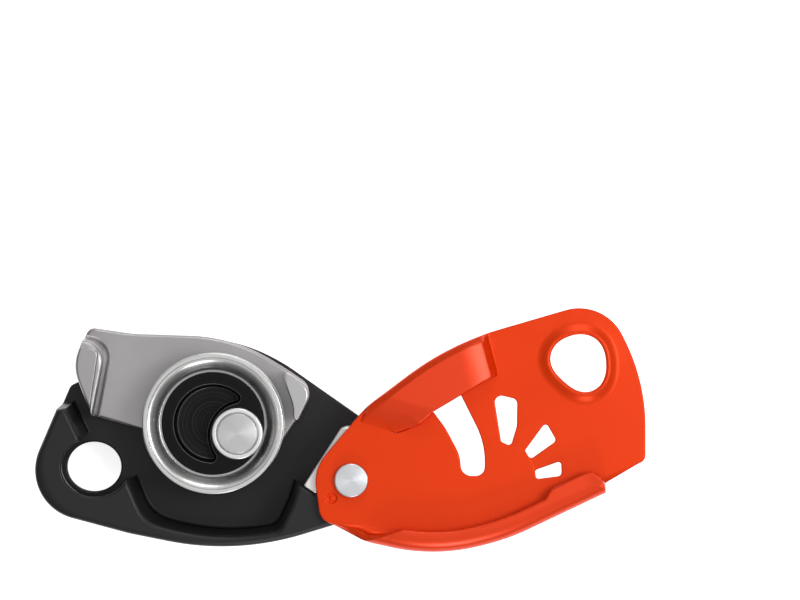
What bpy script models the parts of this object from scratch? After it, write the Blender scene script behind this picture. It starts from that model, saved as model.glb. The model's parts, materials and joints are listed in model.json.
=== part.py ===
"""Cam-assisted belay device, shown open for the rope.

Sizes are millimetres. In plan, X runs along the device and Y across it, with the cam axle at (0, 0); Z rises
from the back of the release handle to the user. The empty belay_device moves that plan to the middle of the part.
"""

import math

import bmesh
import bpy
from mathutils import Matrix, Vector
from mathutils.geometry import delaunay_2d_cdt

MM = 0.001

# Rope and running gaps
ROPE_D = 9.8
GAP = 0.3
PRESS_GAP = 0.3
FACET = 0.06

# Where the four axes stand in plan
WHEEL_ANGLE = 157.8
PIVOT = (29.7, -12.0)
EYE = (-38.35, -9.2)
PLATE_EYE = (89.0, 18.6)
MIDDLE = (26.7, 1.07)

# Thicknesses, from the back to the front
GRIP_T = 6.5
LINK_T = 1.6
FLOOR_T = 3.2
WASHER_T = 0.6
CAM_T = 3.0
WHEEL_W = 11.8
CHANNEL_DEPTH = 17.3
PLATE_T = 2.0

# Frame
EDGE_ROUND = 1.1
WALL_DRAFT = 1.9
CHANNEL_ROOM = 1.8
EYE_A = 7.1
EYE_B = 6.5
EYE_CHAMFER = 0.3
EYE_RING = 1.25
FLOOR_EDGE = 0.45

# Cam
CAM_EDGE = 0.35
CAM_SWING = 32.0
NOSE_H = 12.3
THUMB_H = 7.6
THUMB_SHOULDER = 2.5

# Wheel, its bush and its hub
WHEEL_R = 18.4
GROOVE_DEPTH = 3.2
FLANGE_RIM = 0.9
WHEEL_RIM_W = 5.0
HUB_FACE_T = 1.0
HUB_RECESS = 0.9
HUB_FLANGE_W = 1.5
BUSH_WALL = 0.8
BORE_WALL = 1.02
POCKET_RIM = 3.13
POCKET_WAIST = 0.25
POCKET_SHIFT = 1.6
POCKET_TIP_R = 1.5
POCKET_DEPTH = 4.5
POCKET_DRAFT = 1.15

# Cam axle and what sits on it
AXLE_R = 2.8
AXLE_HEAD_R = 5.2
AXLE_HEAD_T = 0.8
COLLAR_R = 6.7
COLLAR_T = 1.2
COLLAR_SEAT = 0.8
CAM_BUSH_WALL = 0.6
AXLE_BACK_R = 4.9
AXLE_BACK_T = 1.3

# Moving side plate
RIVET_R = 2.2
RIVET_HEAD_R = 4.37
RIVET_HEAD_T = 1.6
RIVET_BACK_R = 4.6
RIVET_BACK_T = 1.4
PLATE_BUSH_WALL = 0.6
PIVOT_WASHER_R = 7.0
ROLL_OUT = 4.4
ROLL_UP = 3.5
ROLL_RETURN = 1.0
ROLL_LOBE = 1.7
ROLL_SKEW = 0.45
BRIDGE_H = 4.5
BRIDGE_RAMP = 7.3
BRIDGE_STEP = 2.4
BRIDGE_EASE = 6.5
BRIDGE_EASE_H = 0.9
BRIDGE_ROUND = 1.8
BRIDGE_ROUND_H = 1.4
SHEAR = 0.35
PLATE_EYE_R = 7.27
PLATE_EYE_LONG = 0.45
PLATE_EYE_LONG_AT = -51.0
PLATE_EYE_LOBE = 0.4
PLATE_EYE_LOBE_AT = 52.5
PLATE_EYE_STEPS = 36
COLLAR_H = 1.3
COLLAR_W = 3.5
DIMPLE_R = 1.25
DIMPLE_DEPTH = 0.4

# Friction shoe
SHOE_T = 3.8
SHOE_LEG = 7.6
SHOE_LENGTH = 18.9
SHOE_CLEAR = 3.5
SHOE_PIN_R = 0.9

# Springs
CAM_WIRE = 0.8
CAM_COIL_R = 6.9
SPRING_RECESS_R = 8.3
SPRING_RECESS = 2.2
HANDLE_WIRE = 0.9
HANDLE_COIL_R = 6.6

# Release handle
HANDLE_ANGLE = -8.0
HANDLE_LENGTH = 52.0
HANDLE_SWING = 90.0
GRIP_HUB_R = 11.0
GRIP_BORE_R = 8.2
GRIP_W = 11.5
CAP_T = 1.2
LINK_HUB_R = 8.0
LINK_W = 9.0
LINK_LENGTH = 24.0
GRIP_RIVET_R = 1.3
DRIVE_R = 15.0
DRIVE_PIN_R = 1.5
DOWEL_R = 1.2

# Heights that follow
Z_LINK = GRIP_T + GAP
Z_FRAME = Z_LINK + LINK_T + GAP
Z_FLOOR = Z_FRAME + FLOOR_T
Z_THRUST = Z_FLOOR + GAP
Z_CAM = Z_THRUST + WASHER_T + GAP
Z_HUB = Z_CAM + CAM_T + GAP
Z_WHEEL = Z_HUB + WASHER_T + GAP
Z_WHEEL_TOP = Z_WHEEL + WHEEL_W
Z_WALL = Z_FLOOR + CHANNEL_DEPTH
Z_PLATE = Z_WALL + GAP + WASHER_T + GAP
Z_PLATE_TOP = Z_PLATE + PLATE_T
Z_HUB_FACE = Z_WHEEL_TOP - HUB_RECESS
Z_COLLAR = Z_HUB_FACE + GAP

# Radii and places that follow
AXLE_BORE_R = AXLE_R + GAP
CAM_BUSH_R = AXLE_BORE_R + CAM_BUSH_WALL
CAM_BORE_R = CAM_BUSH_R + PRESS_GAP
HUB_FACE_R = WHEEL_R - WHEEL_RIM_W
HUB_CORE_R = HUB_FACE_R - HUB_FLANGE_W
BUSH_R = HUB_CORE_R + GAP + BUSH_WALL
WHEEL_BORE_R = BUSH_R + GAP
WHEEL_OFFSET = HUB_CORE_R - CAM_BORE_R - BORE_WALL
WHEEL = (
    WHEEL_OFFSET * math.cos(math.radians(WHEEL_ANGLE)),
    WHEEL_OFFSET * math.sin(math.radians(WHEEL_ANGLE)),
)
CHANNEL_R = WHEEL_R + ROPE_D + CHANNEL_ROOM
POCKET_R = HUB_FACE_R - POCKET_RIM
POCKET_WAIST_R = COLLAR_R + POCKET_WAIST + POCKET_SHIFT
PLATE_BUSH_R = RIVET_R + GAP + PLATE_BUSH_WALL
PLATE_BORE_R = PLATE_BUSH_R + PRESS_GAP
DRIVE_SLOT_HALF = DRIVE_PIN_R + GAP
DRIVE_CONTACT = math.degrees(math.asin((LINK_W / 2 + DRIVE_PIN_R + GAP) / DRIVE_R))
DRIVE_ANGLE = HANDLE_ANGLE + HANDLE_SWING + DRIVE_CONTACT + CAM_SWING

FINISHES = {
    "black_anodised": ((0.022, 0.023, 0.025), 0.42, 0.75),
    "black_hub": ((0.014, 0.014, 0.016), 0.36, 0.75),
    "orange_anodised": ((0.72, 0.055, 0.012), 0.38, 0.25),
    "cast_steel": ((0.36, 0.355, 0.35), 0.42, 1.0),
    "bright_steel": ((0.62, 0.62, 0.62), 0.26, 1.0),
    "brushed_head": ((0.66, 0.66, 0.67), 0.33, 1.0),
    "spring_steel": ((0.30, 0.30, 0.31), 0.34, 1.0),
    "bronze": ((0.43, 0.27, 0.12), 0.42, 1.0),
    "black_nylon": ((0.018, 0.018, 0.019), 0.55, 0.0),
    "white_polymer": ((0.62, 0.61, 0.58), 0.5, 0.0),
}


def polar(centre, radius, degrees):
    """The point at this radius and angle from a centre."""
    angle = math.radians(degrees)
    return (centre[0] + radius * math.cos(angle), centre[1] + radius * math.sin(angle))


def smooth(value):
    """Eases 0 to 1 with level ends."""
    t = min(1.0, max(0.0, value))
    return t * t * (3.0 - 2.0 * t)


def arc_steps(radius, turn):
    """How many chords an arc needs to stay within FACET of its circle."""
    if radius <= FACET:
        return 1
    step = 2.0 * math.acos(1.0 - FACET / radius)
    return max(1, math.ceil(abs(turn) / min(step, math.radians(30.0))))


def rounded(corners):
    """An outline through (x, y, fillet radius) corners, anticlockwise, as a function of how far it is moved out."""

    def loop(grow=0.0):
        count = len(corners)
        ways = []
        for (x0, y0, _), (x1, y1, _) in zip(corners, corners[1:] + corners[:1]):
            ways.append(Vector((x1 - x0, y1 - y0)).normalized())
        tips, turns, reaches = [], [], []
        for i in range(count):
            before, after = ways[i - 1], ways[i]
            point = Vector(corners[i][:2])
            turn = math.atan2(before.x * after.y - before.y * after.x, before.dot(after))
            out = Vector((before.y + after.y, -before.x - after.x)).normalized()
            tips.append(point + out * (grow / max(0.2, math.cos(turn / 2.0))))
            turns.append(turn)
            radius = corners[i][2]
            if radius:
                radius = max(0.05, radius + math.copysign(grow, turn))
            reaches.append(radius * math.tan(abs(turn) / 2.0))
        for i in range(count):
            room = (tips[(i + 1) % count] - tips[i]).length * 0.998
            total = reaches[i] + reaches[(i + 1) % count]
            if total > room:
                reaches[i] *= room / total
                reaches[(i + 1) % count] *= room / total
        points = []
        for i in range(count):
            turn, reach = turns[i], reaches[i]
            if not corners[i][2] or reach < 1e-6:
                points.append(tuple(tips[i]))
                continue
            start = tips[i] - ways[i - 1] * reach
            radius = reach / math.tan(abs(turn) / 2.0)
            side = Vector((-ways[i - 1].y, ways[i - 1].x)) * math.copysign(1.0, turn)
            centre = start + side * radius
            steps = arc_steps(corners[i][2], turn)
            for k in range(steps + 1):
                spoke = Matrix.Rotation(turn * k / steps, 2) @ (start - centre)
                points.append(tuple(centre + spoke))
        return points

    return loop


def arc(centre, radius, start, end, steps):
    """Corners without fillets along an arc, in degrees."""
    return [(*polar(centre, radius, start + (end - start) * k / steps), 0.0) for k in range(steps + 1)]


def circle(centre, radius, steps=None):
    """A full circle, as a function of how far it is moved out."""
    count = steps or max(12, 4 * math.ceil(arc_steps(radius, 2.0 * math.pi) / 4))
    return lambda grow=0.0: [polar(centre, radius + grow, 360.0 * k / count) for k in range(count)]


def oval(centre, half_x, half_y, steps):
    """An ellipse, as a function of how far it is moved out."""

    def loop(grow=0.0):
        turns = [2.0 * math.pi * k / steps for k in range(steps)]
        across, up = half_x + grow, half_y + grow
        return [(centre[0] + across * math.cos(a), centre[1] + up * math.sin(a)) for a in turns]

    return loop


def mesh_object(name, vertices, faces):
    """A closed mesh whose faces are turned out."""
    mesh = bpy.data.meshes.new(name)
    mesh.from_pydata([(x * MM, y * MM, z * MM) for x, y, z in vertices], [], faces)
    work = bmesh.new()
    work.from_mesh(mesh)
    bmesh.ops.remove_doubles(work, verts=work.verts, dist=1e-7)
    bmesh.ops.recalc_face_normals(work, faces=work.faces)
    if work.calc_volume(signed=True) < 0.0:
        bmesh.ops.reverse_faces(work, faces=work.faces)
    work.to_mesh(mesh)
    work.free()
    obj = bpy.data.objects.new(name, mesh)
    bpy.context.scene.collection.objects.link(obj)
    return obj


def loft(name, outline, levels):
    """Stacks an outline at (height, how far it is moved out) levels and closes both ends."""
    rings = [[(x, y, z) for x, y in outline(grow)] for z, grow in levels]
    count = len(rings[0])
    vertices = [point for ring in rings for point in ring]
    faces = [tuple(range(count)), tuple(range(len(vertices) - count, len(vertices)))]
    for level in range(len(rings) - 1):
        low = level * count
        for k in range(count):
            after = (k + 1) % count
            faces.append((low + k, low + after, low + count + after, low + count + k))
    return mesh_object(name, vertices, faces)


def slab(outline, low, high, edge, steps=1, name="slab"):
    """A plate whose top and bottom edges are rounded, or chamfered where steps is 1."""
    turns = [math.pi / 2.0 * k / steps for k in range(steps + 1)]
    bottom = [(low + edge * (1.0 - math.sin(a)), -edge * (1.0 - math.cos(a))) for a in reversed(turns)]
    top = [(high - edge * (1.0 - math.sin(a)), -edge * (1.0 - math.cos(a))) for a in turns]
    return loft(name, outline, bottom + top)


def turned(name, profile, centre=(0.0, 0.0), steps=48):
    """Turns a closed (radius, height) profile about the vertical through a centre."""
    vertices, rows = [], []
    for radius, height in profile:
        if radius < 1e-6:
            rows.append([len(vertices)] * steps)
            vertices.append((centre[0], centre[1], height))
            continue
        rows.append(list(range(len(vertices), len(vertices) + steps)))
        vertices += [(*polar(centre, radius, 360.0 * k / steps), height) for k in range(steps)]
    faces = []
    for low, high in zip(rows, rows[1:] + rows[:1]):
        for k in range(steps):
            after = (k + 1) % steps
            face = list(dict.fromkeys((low[k], low[after], high[after], high[k])))
            if len(face) > 2:
                faces.append(face)
    return mesh_object(name, vertices, faces)


def ring_profile(inner, outer, low, high):
    """The profile of a plain washer or bush."""
    return [(inner, low), (outer, low), (outer, high), (inner, high)]


def pin(name, centre, radius, low, high, edge=0.25, steps=20):
    """A plain pin with chamfered ends."""
    profile = [(0.0, low), (radius - edge, low), (radius, low + edge)]
    profile += [(radius, high - edge), (radius - edge, high), (0.0, high)]
    return turned(name, profile, centre, steps)


def hole(centre, radius, low, high, flare=0.0, steps=32):
    """A cutter for a round hole, flared at its top by the chamfer's width."""
    profile = [(0.0, low), (radius, low), (radius, high - flare)]
    profile += [(radius + flare + 0.5, high + 0.5), (0.0, high + 0.5)]
    return turned("hole", profile, centre, steps)


def tube(name, route, radius, sides=8):
    """A round wire along a route, closed at both ends."""
    points = [Vector(p) for p in route]
    vertices, faces = [], []
    across = Vector((0.0, 0.0, 1.0))
    for i, point in enumerate(points):
        way = (points[min(i + 1, len(points) - 1)] - points[max(i - 1, 0)]).normalized()
        if i == 0 and abs(way.z) > 0.9:
            across = Vector((1.0, 0.0, 0.0))
        across = (across - way * across.dot(way)).normalized()
        other = way.cross(across)
        for k in range(sides):
            angle = 2.0 * math.pi * k / sides
            vertices.append(tuple(point + radius * (across * math.cos(angle) + other * math.sin(angle))))
    for i in range(len(points) - 1):
        for k in range(sides):
            after = (k + 1) % sides
            low = i * sides
            faces.append((low + k, low + after, low + sides + after, low + sides + k))
    faces += [tuple(range(sides)), tuple(range(len(vertices) - sides, len(vertices)))]
    return mesh_object(name, vertices, faces)


def combine(obj, other, operation):
    """Applies one exact Boolean and drops the second object."""
    modifier = obj.modifiers.new(operation.lower(), "BOOLEAN")
    modifier.operation = operation
    modifier.solver = "EXACT"
    modifier.object = other
    bpy.context.view_layer.update()
    graph = bpy.context.evaluated_depsgraph_get()
    result = bpy.data.meshes.new_from_object(obj.evaluated_get(graph))
    obj.modifiers.clear()
    spent = obj.data
    obj.data = result
    bpy.data.meshes.remove(spent)
    bpy.data.objects.remove(other)
    return obj


def cut(obj, *cutters):
    """Removes each cutter from the object."""
    for cutter in cutters:
        combine(obj, cutter, "DIFFERENCE")
    return obj


def join(obj, *others):
    """Adds each solid to the object."""
    for other in others:
        combine(obj, other, "UNION")
    return obj


def shoe_line(along, behind):
    """A point of the friction shoe's frame: how far along its rope face, and how far behind it."""
    start, way = Vector((17.2, -13.6)), Vector((0.545, 0.838)).normalized()
    point = start + way * along + Vector((way.y, -way.x)) * behind
    return (point.x, point.y)


def shoe_outline():
    """The stainless shoe: its rope face on the left, and a leg that hooks over the pivot boss."""
    tip = Vector(shoe_line(SHOE_LENGTH, 0.0))
    leg = Vector((0.93, -0.37)).normalized()
    low = Vector((leg.y, -leg.x))
    end = tip + leg * SHOE_LEG
    inner_end = end + low * SHOE_T
    inner = tip + leg * (SHOE_T * 1.12) + low * SHOE_T
    return rounded(
        [
            (*shoe_line(0.0, 0.0), 0.5),
            (*shoe_line(0.0, SHOE_T), 0.5),
            (*inner, 0.6),
            (*inner_end, 0.5),
            (*end, 0.8),
            (*tip, 2.6),
        ]
    )


def frame_rim():
    """The frame's silhouette, from the pivot end round the top, the eye end and the bottom."""
    return rounded(
        [
            (PIVOT[0] + 11.0, PIVOT[1] - 7.1, 9.5),
            (PIVOT[0] + 11.0, PIVOT[1] + 8.2, 8.0),
            (32.2, 3.7, 2.5),
            (12.6, 17.45, 30.0),
            (0.8, 24.2, 46.0),
            (-17.5, 25.2, 14.0),
            (-44.6, 12.2, 2.5),
            (EYE[0] - 19.2, EYE[1] - 8.95, 13.0),
            (EYE[0] + 10.2, EYE[1] - 16.85, 30.0),
            (-0.3, -31.6, 72.0),
        ]
    )


def channel_outline():
    """The hollow that the forging has above its floor: everything in plan that the raised wall doesn't fill."""
    depth = WHEEL[1] - CHANNEL_R
    return rounded(
        [
            (-45.0, 5.7, 1.0),
            (-41.8, -1.0, 0.8),
            (EYE[0] - 2.9, EYE[1] + 4.2, 0.0),
            (EYE[0] + 7.3, EYE[1] - 1.3, 0.0),
            (-28.8, -13.2, 1.0),
            (-26.6, -18.5, 8.0),
            (-23.9, depth + 3.7, 8.0),
            (-4.8, depth - 1.5, 60.0),
            (11.4, depth + 1.4, 2.8),
            (14.9, -18.6, 5.0),
            (*shoe_line(-0.9, -0.4), 0.8),
            (*shoe_line(-0.4, SHOE_T + 0.6), 0.4),
            (*shoe_line(14.0, SHOE_T + 0.35), 1.2),
            (PIVOT[0] + 6.6, PIVOT[1] + 8.3, 1.5),
            (46.0, 2.0, 0.0),
            (46.0, 42.0, 0.0),
            (-62.0, 42.0, 0.0),
            (-62.0, 3.0, 0.0),
        ]
    )


def drive_arc(radius, half, low, high, spare):
    """A cutter for the curved slot that the drive pin runs in."""
    first = DRIVE_ANGLE + spare
    last = DRIVE_ANGLE - CAM_SWING - spare
    steps = 12
    outer = arc((0.0, 0.0), radius + half, last, first, steps)
    inner = arc((0.0, 0.0), radius - half, first, last, steps)
    start, end = polar((0.0, 0.0), radius, first), polar((0.0, 0.0), radius, last)
    cap_a = arc(start, half, first + 30.0, first + 150.0, 4)
    cap_b = arc(end, half, last + 210.0, last + 330.0, 4)
    return loft("slot", rounded(outer + cap_a + inner + cap_b), [(low, 0.0), (high, 0.0)])


def shoe_relief():
    """The clear space before the shoe's low end, where the drafted wall would stand in the rope's way."""
    return rounded(
        [
            (*shoe_line(-0.6, -SHOE_CLEAR), 0.0),
            (*shoe_line(-0.6, 0.2), 0.0),
            (*shoe_line(SHOE_CLEAR, 0.2), 0.0),
            (*shoe_line(SHOE_CLEAR, -SHOE_CLEAR), 0.0),
        ]
    )


def floor_edge():
    """A cutter that breaks the floor's edge wherever no wall stands on it."""
    low = Z_FLOOR - FLOOR_EDGE
    cutter = loft("floor_edge", channel_outline(), [(low, 0.0), (Z_FLOOR + 0.3, 0.0)])
    kept = loft("kept", frame_rim(), [(low - 1.0, 0.0), (low, 0.0), (Z_FLOOR + 0.6, -FLOOR_EDGE - 0.6)])
    return cut(cutter, kept)


def side_frame():
    """The forged body: a floor, a drafted wall round the rope's channel, the carabiner eye and the pivot boss."""
    body = slab(frame_rim(), Z_FRAME, Z_WALL, EDGE_ROUND, 3, "side_frame")
    chamber = loft(
        "chamber",
        channel_outline(),
        [
            (Z_FLOOR, -WALL_DRAFT - 0.5),
            (Z_FLOOR + 0.5, -WALL_DRAFT + 0.1),
            (Z_WALL - 1.3, -0.35),
            (Z_WALL - 0.4, 0.0),
            (Z_WALL + 0.6, 1.0),
        ],
    )
    cut(body, chamber, floor_edge())
    room = loft("shoe_room", shoe_outline(), [(Z_FLOOR, GAP), (Z_WALL + 1.0, GAP)])
    relief = loft("shoe_relief", shoe_relief(), [(Z_FLOOR, 0.0), (Z_WALL + 1.0, 0.0)])
    cut(body, room, relief)
    eye = loft(
        "eye",
        oval(EYE, EYE_A, EYE_B, 32),
        [
            (Z_FRAME - 1.0, 1.9),
            (Z_FRAME + 0.9, 0.0),
            (Z_FLOOR - EYE_CHAMFER, 0.0),
            (Z_FLOOR, EYE_CHAMFER),
            (Z_FLOOR + 1.0, EYE_CHAMFER + 0.2),
        ],
    )
    ring = loft(
        "eye_ring",
        oval((EYE[0] + EYE_RING + 0.2, EYE[1] + 0.5), EYE_A + EYE_RING + 0.55, EYE_B + EYE_RING, 40),
        [(Z_FLOOR, 0.0), (Z_WALL - 0.5, 0.0), (Z_WALL + 0.5, 1.0)],
    )
    cut(body, eye, ring)
    cut(body, hole((0.0, 0.0), AXLE_BORE_R, Z_FRAME - 1.0, Z_FLOOR + 1.0))
    cut(body, hole((0.0, 0.0), SPRING_RECESS_R, Z_FLOOR - SPRING_RECESS, Z_FLOOR + 1.0))
    cut(body, hole(PIVOT, RIVET_R + GAP, Z_FRAME - 1.0, Z_WALL + 1.0))
    cut(body, drive_arc(DRIVE_R, DRIVE_SLOT_HALF, Z_FRAME - 1.0, Z_FLOOR + 1.0, 0.6))
    for place in shoe_pin_places():
        cut(body, hole(place, SHOE_PIN_R + PRESS_GAP, Z_FRAME - 1.0, Z_FLOOR + 1.0, steps=16))
    leg = polar((0.0, 0.0), CAM_COIL_R, spring_leg_angle())
    cut(body, hole(leg, CAM_WIRE / 2.0 + GAP, Z_FRAME - 1.0, Z_FLOOR, steps=12))
    return body


def shoe_pin_places():
    """The two pins stand in the middle of the shoe's thickness."""
    return [shoe_line(along, SHOE_T / 2.0) for along in (3.6, 12.4)]


def friction_shoe():
    """The stainless block that the rope is pinched against."""
    shoe = slab(shoe_outline(), Z_FLOOR + GAP, Z_WALL, 0.35, 2, "friction_shoe")
    for place in shoe_pin_places():
        cut(shoe, hole(place, SHOE_PIN_R + PRESS_GAP, Z_FLOOR, Z_FLOOR + 6.0, steps=16))
    return shoe


def cam_rim():
    """The cam's silhouette: nose at the right, thumb end at the left, and its lower side behind the wheel."""
    return rounded(
        [
            (6.8, -9.5, 4.0),
            (15.8, 4.0, 1.5),
            (19.6, 11.75, 4.2),
            (12.6, 16.5, 26.0),
            (-1.4, 25.0, 43.0),
            (-28.1, 25.9, 25.0),
            (-39.5, 27.6, 2.2),
            (-43.5, 17.6, 11.0),
            (-38.4, 4.4, 0.6),
            (-19.5, -1.0, 4.0),
            (-14.0, -10.5, 9.0),
        ]
    )


def cam_plate():
    """The cast cam: a plate with the nose that pinches the rope and the thumb block with its stepped shoulder."""
    cam = slab(cam_rim(), Z_CAM, Z_CAM + CAM_T, CAM_EDGE, 2, "cam_plate")
    top = Z_CAM + CAM_T
    nose = rounded(
        [(14.55, 3.5, 0.7), (15.76, 3.4, 0.7), (19.6, 11.3, 3.9), (11.0, 17.15, 0.9), (14.55, 7.2, 9.0)]
    )
    nose_top = top + NOSE_H
    block = loft(
        "nose", nose, [(top - 1.0, 0.0), (nose_top - 0.4, 0.0), (nose_top - 0.12, -0.12), (nose_top, -0.4)]
    )
    thumb = rounded([(-38.3, 1.0, 0.0), (-33.85, 23.6, 5.0), (-46.0, 25.4, 0.0), (-50.0, 1.0, 0.0)])
    thumb_top = top + THUMB_H
    raised = loft(
        "thumb",
        thumb,
        [
            (top - 1.0, 0.0),
            (top + 0.3, -0.1),
            (thumb_top - 1.5, -0.45),
            (thumb_top - 0.9, -0.9),
            (thumb_top - 0.55, -THUMB_SHOULDER + 0.25),
            (thumb_top, -THUMB_SHOULDER),
        ],
    )
    inset = loft("inset", cam_rim(), [(top - 2.0, -0.12), (thumb_top - 0.4, -0.12), (thumb_top + 0.1, -0.5)])
    combine(raised, inset, "INTERSECT")
    join(cam, block, raised)
    cut(cam, hole((0.0, 0.0), CAM_BORE_R, Z_CAM - 1.0, top + 1.0))
    cut(cam, hole(drive_pin_place(), DRIVE_PIN_R + PRESS_GAP, Z_CAM - 1.0, top + 1.0, steps=20))
    for place in dowel_places():
        cut(cam, hole(place, DOWEL_R + PRESS_GAP, Z_CAM - 1.0, top + 1.0, steps=16))
    leg = polar((0.0, 0.0), CAM_COIL_R, spring_leg_angle(upper=True))
    cut(cam, hole(leg, CAM_WIRE / 2.0 + GAP, Z_CAM - 1.0, Z_CAM + 2.0, steps=12))
    return cam


def drive_pin_place():
    """The pin that the handle pushes, with the cam at rest."""
    return polar((0.0, 0.0), DRIVE_R, DRIVE_ANGLE)


def dowel_places():
    """The two dowels between cam and hub."""
    return [polar(WHEEL, HUB_CORE_R - 2.9, degrees) for degrees in (200.0, 262.0)]


def spring_leg_angle(upper=False):
    """Where the cam spring's legs stand round the axle."""
    return -60.0 + (216.0 if upper else 0.0)


def crescent(grow=0.0):
    """The pocket in the hub's face: a disc about the wheel less a disc round the collar, with round tips."""
    outer, waist, tip = POCKET_R + grow, POCKET_WAIST_R - grow, POCKET_TIP_R + grow
    reach_w, reach_a = POCKET_R - POCKET_TIP_R, POCKET_WAIST_R + POCKET_TIP_R
    apart = WHEEL_OFFSET + POCKET_SHIFT
    along = (reach_a**2 - reach_w**2 + apart**2) / (2.0 * apart)
    across = math.sqrt(reach_a**2 - along**2)
    way = Vector(WHEEL) / WHEEL_OFFSET
    side = Vector((way.y, -way.x))
    middle = tuple(-way * POCKET_SHIFT)
    tips = [Vector(middle) + way * along + side * across, Vector(middle) + way * along - side * across]

    def angle(tip_centre, origin):
        spoke = tip_centre - Vector(origin)
        return math.degrees(math.atan2(spoke.y, spoke.x)) % 360.0

    upper, lower = sorted(tips, key=lambda p: -p.y)
    start, end = angle(upper, WHEEL), angle(lower, WHEEL)
    waist_start, waist_end = angle(lower, middle), angle(upper, middle)
    points = [polar(WHEEL, outer, start + (end - start) * k / 26) for k in range(27)]
    turn = (waist_start + 180.0 - end) % 360.0
    points += [polar(lower, tip, end + turn * k / 5) for k in range(1, 5)]
    points += [polar(middle, waist, waist_start + (waist_end - waist_start) * k / 16) for k in range(17)]
    turn = (start - waist_end - 180.0) % 360.0
    points += [polar(upper, tip, waist_end + 180.0 + turn * k / 5) for k in range(1, 5)]
    return points


def wheel_hub():
    """The hub that the wheel turns on, off centre from the axle, with the crescent pocket in its face."""
    flange = Z_HUB_FACE - HUB_FACE_T
    profile = [
        (0.0, Z_HUB),
        (HUB_CORE_R, Z_HUB),
        (HUB_CORE_R, flange),
        (HUB_FACE_R, flange),
        (HUB_FACE_R, Z_HUB_FACE - 0.3),
        (HUB_FACE_R - 0.3, Z_HUB_FACE),
        (0.0, Z_HUB_FACE),
    ]
    hub = turned("wheel_hub", profile, WHEEL, 48)
    floor = Z_HUB_FACE - POCKET_DEPTH
    pocket = loft(
        "pocket",
        crescent,
        [
            (floor, -POCKET_DRAFT),
            (floor + 0.4, -POCKET_DRAFT + 0.35),
            (Z_HUB_FACE - 0.25, 0.0),
            (Z_HUB_FACE + 0.75, 0.6),
        ],
    )
    cut(hub, pocket)
    cut(hub, hole((0.0, 0.0), CAM_BORE_R, Z_HUB - 1.0, Z_HUB_FACE + 1.0))
    for place in dowel_places():
        cut(hub, hole(place, DOWEL_R + PRESS_GAP, Z_HUB - 1.0, Z_HUB + 4.8, steps=16))
    return hub


def wheel_sheave():
    """The grooved wheel: a half-oval rope groove outside, a turned cove on its face and a stepped bore."""
    low, high = Z_WHEEL, Z_WHEEL_TOP
    middle, half = (low + high) / 2.0, WHEEL_W / 2.0 - FLANGE_RIM
    groove = []
    for k in range(9):
        angle = math.pi * (k / 8.0 - 0.5)
        groove.append((WHEEL_R - GROOVE_DEPTH * math.cos(angle), middle + half * math.sin(angle)))
    line_r = WHEEL_R - 1.24
    cove_out, cove_in = line_r - 0.55, HUB_FACE_R + GAP + 0.45
    cove = []
    for k in range(6):
        t = k / 5.0
        dip = 1.35 * math.sin(math.pi * t) + 0.75 * t
        cove.append((cove_out + (cove_in - cove_out) * t, high - 0.12 - dip))
    shoulder = Z_HUB_FACE - HUB_FACE_T - GAP
    lip = high - 1.0
    profile = [
        (WHEEL_BORE_R, low),
        (WHEEL_R - 0.5, low),
        (WHEEL_R, low + 0.4),
        *groove,
        (WHEEL_R, high - 0.3),
        (WHEEL_R - 0.3, high),
        (line_r + 0.1, high),
        (line_r, high - 0.14),
        (line_r - 0.1, high),
        *cove,
        (HUB_FACE_R + GAP, lip),
        (HUB_FACE_R + GAP, shoulder),
        (WHEEL_BORE_R, shoulder),
    ]
    return turned("wheel_sheave", profile, WHEEL, 48)


def cam_axle():
    """The axle: brushed head in front, riveted head behind the handle link."""
    seat = Z_COLLAR + COLLAR_T - COLLAR_SEAT + GAP
    back = GRIP_T - WASHER_T - GAP
    profile = [
        (0.0, back - AXLE_BACK_T),
        (AXLE_BACK_R - 0.6, back - AXLE_BACK_T),
        (AXLE_BACK_R, back - AXLE_BACK_T + 0.5),
        (AXLE_BACK_R, back),
        (AXLE_R, back),
        (AXLE_R, seat),
        (AXLE_HEAD_R, seat),
        (AXLE_HEAD_R, seat + AXLE_HEAD_T - 0.15),
        (AXLE_HEAD_R - 0.15, seat + AXLE_HEAD_T),
        (0.0, seat + AXLE_HEAD_T),
    ]
    return turned("cam_axle", profile, steps=40)


def axle_collar():
    """The cup washer under the axle's head."""
    top, seat = Z_COLLAR + COLLAR_T, Z_COLLAR + COLLAR_T - COLLAR_SEAT
    seat_r = AXLE_HEAD_R + GAP
    profile = [
        (AXLE_BORE_R, Z_COLLAR),
        (COLLAR_R - 0.15, Z_COLLAR),
        (COLLAR_R, Z_COLLAR + 0.15),
        (COLLAR_R, top - 0.3),
        (COLLAR_R - 0.3, top),
        (seat_r, top),
        (seat_r, seat),
        (AXLE_BORE_R, seat),
    ]
    return turned("axle_collar", profile, steps=40)


def plate_rivet():
    """The rivet that the moving plate turns on: wide bevelled head in front, low head behind the frame."""
    head = Z_PLATE_TOP + GAP
    back = Z_FRAME - GAP
    profile = [
        (0.0, back - RIVET_BACK_T),
        (RIVET_BACK_R - 0.8, back - RIVET_BACK_T),
        (RIVET_BACK_R, back - 0.6),
        (RIVET_BACK_R, back),
        (RIVET_R, back),
        (RIVET_R, head),
        (RIVET_HEAD_R, head),
        (RIVET_HEAD_R, head + RIVET_HEAD_T - 0.4),
        (RIVET_HEAD_R - 0.4, head + RIVET_HEAD_T),
        (0.0, head + RIVET_HEAD_T),
    ]
    return turned("plate_rivet", profile, PIVOT, 32)


def coil(radius, start, turns, low, rise, steps_per_turn):
    """Points along a coil about the axle."""
    count = round(abs(turns) * steps_per_turn)
    points = []
    for k in range(count + 1):
        place = polar((0.0, 0.0), radius, start + 360.0 * turns * k / count)
        points.append((*place, low + rise * k / count))
    return points


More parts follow.
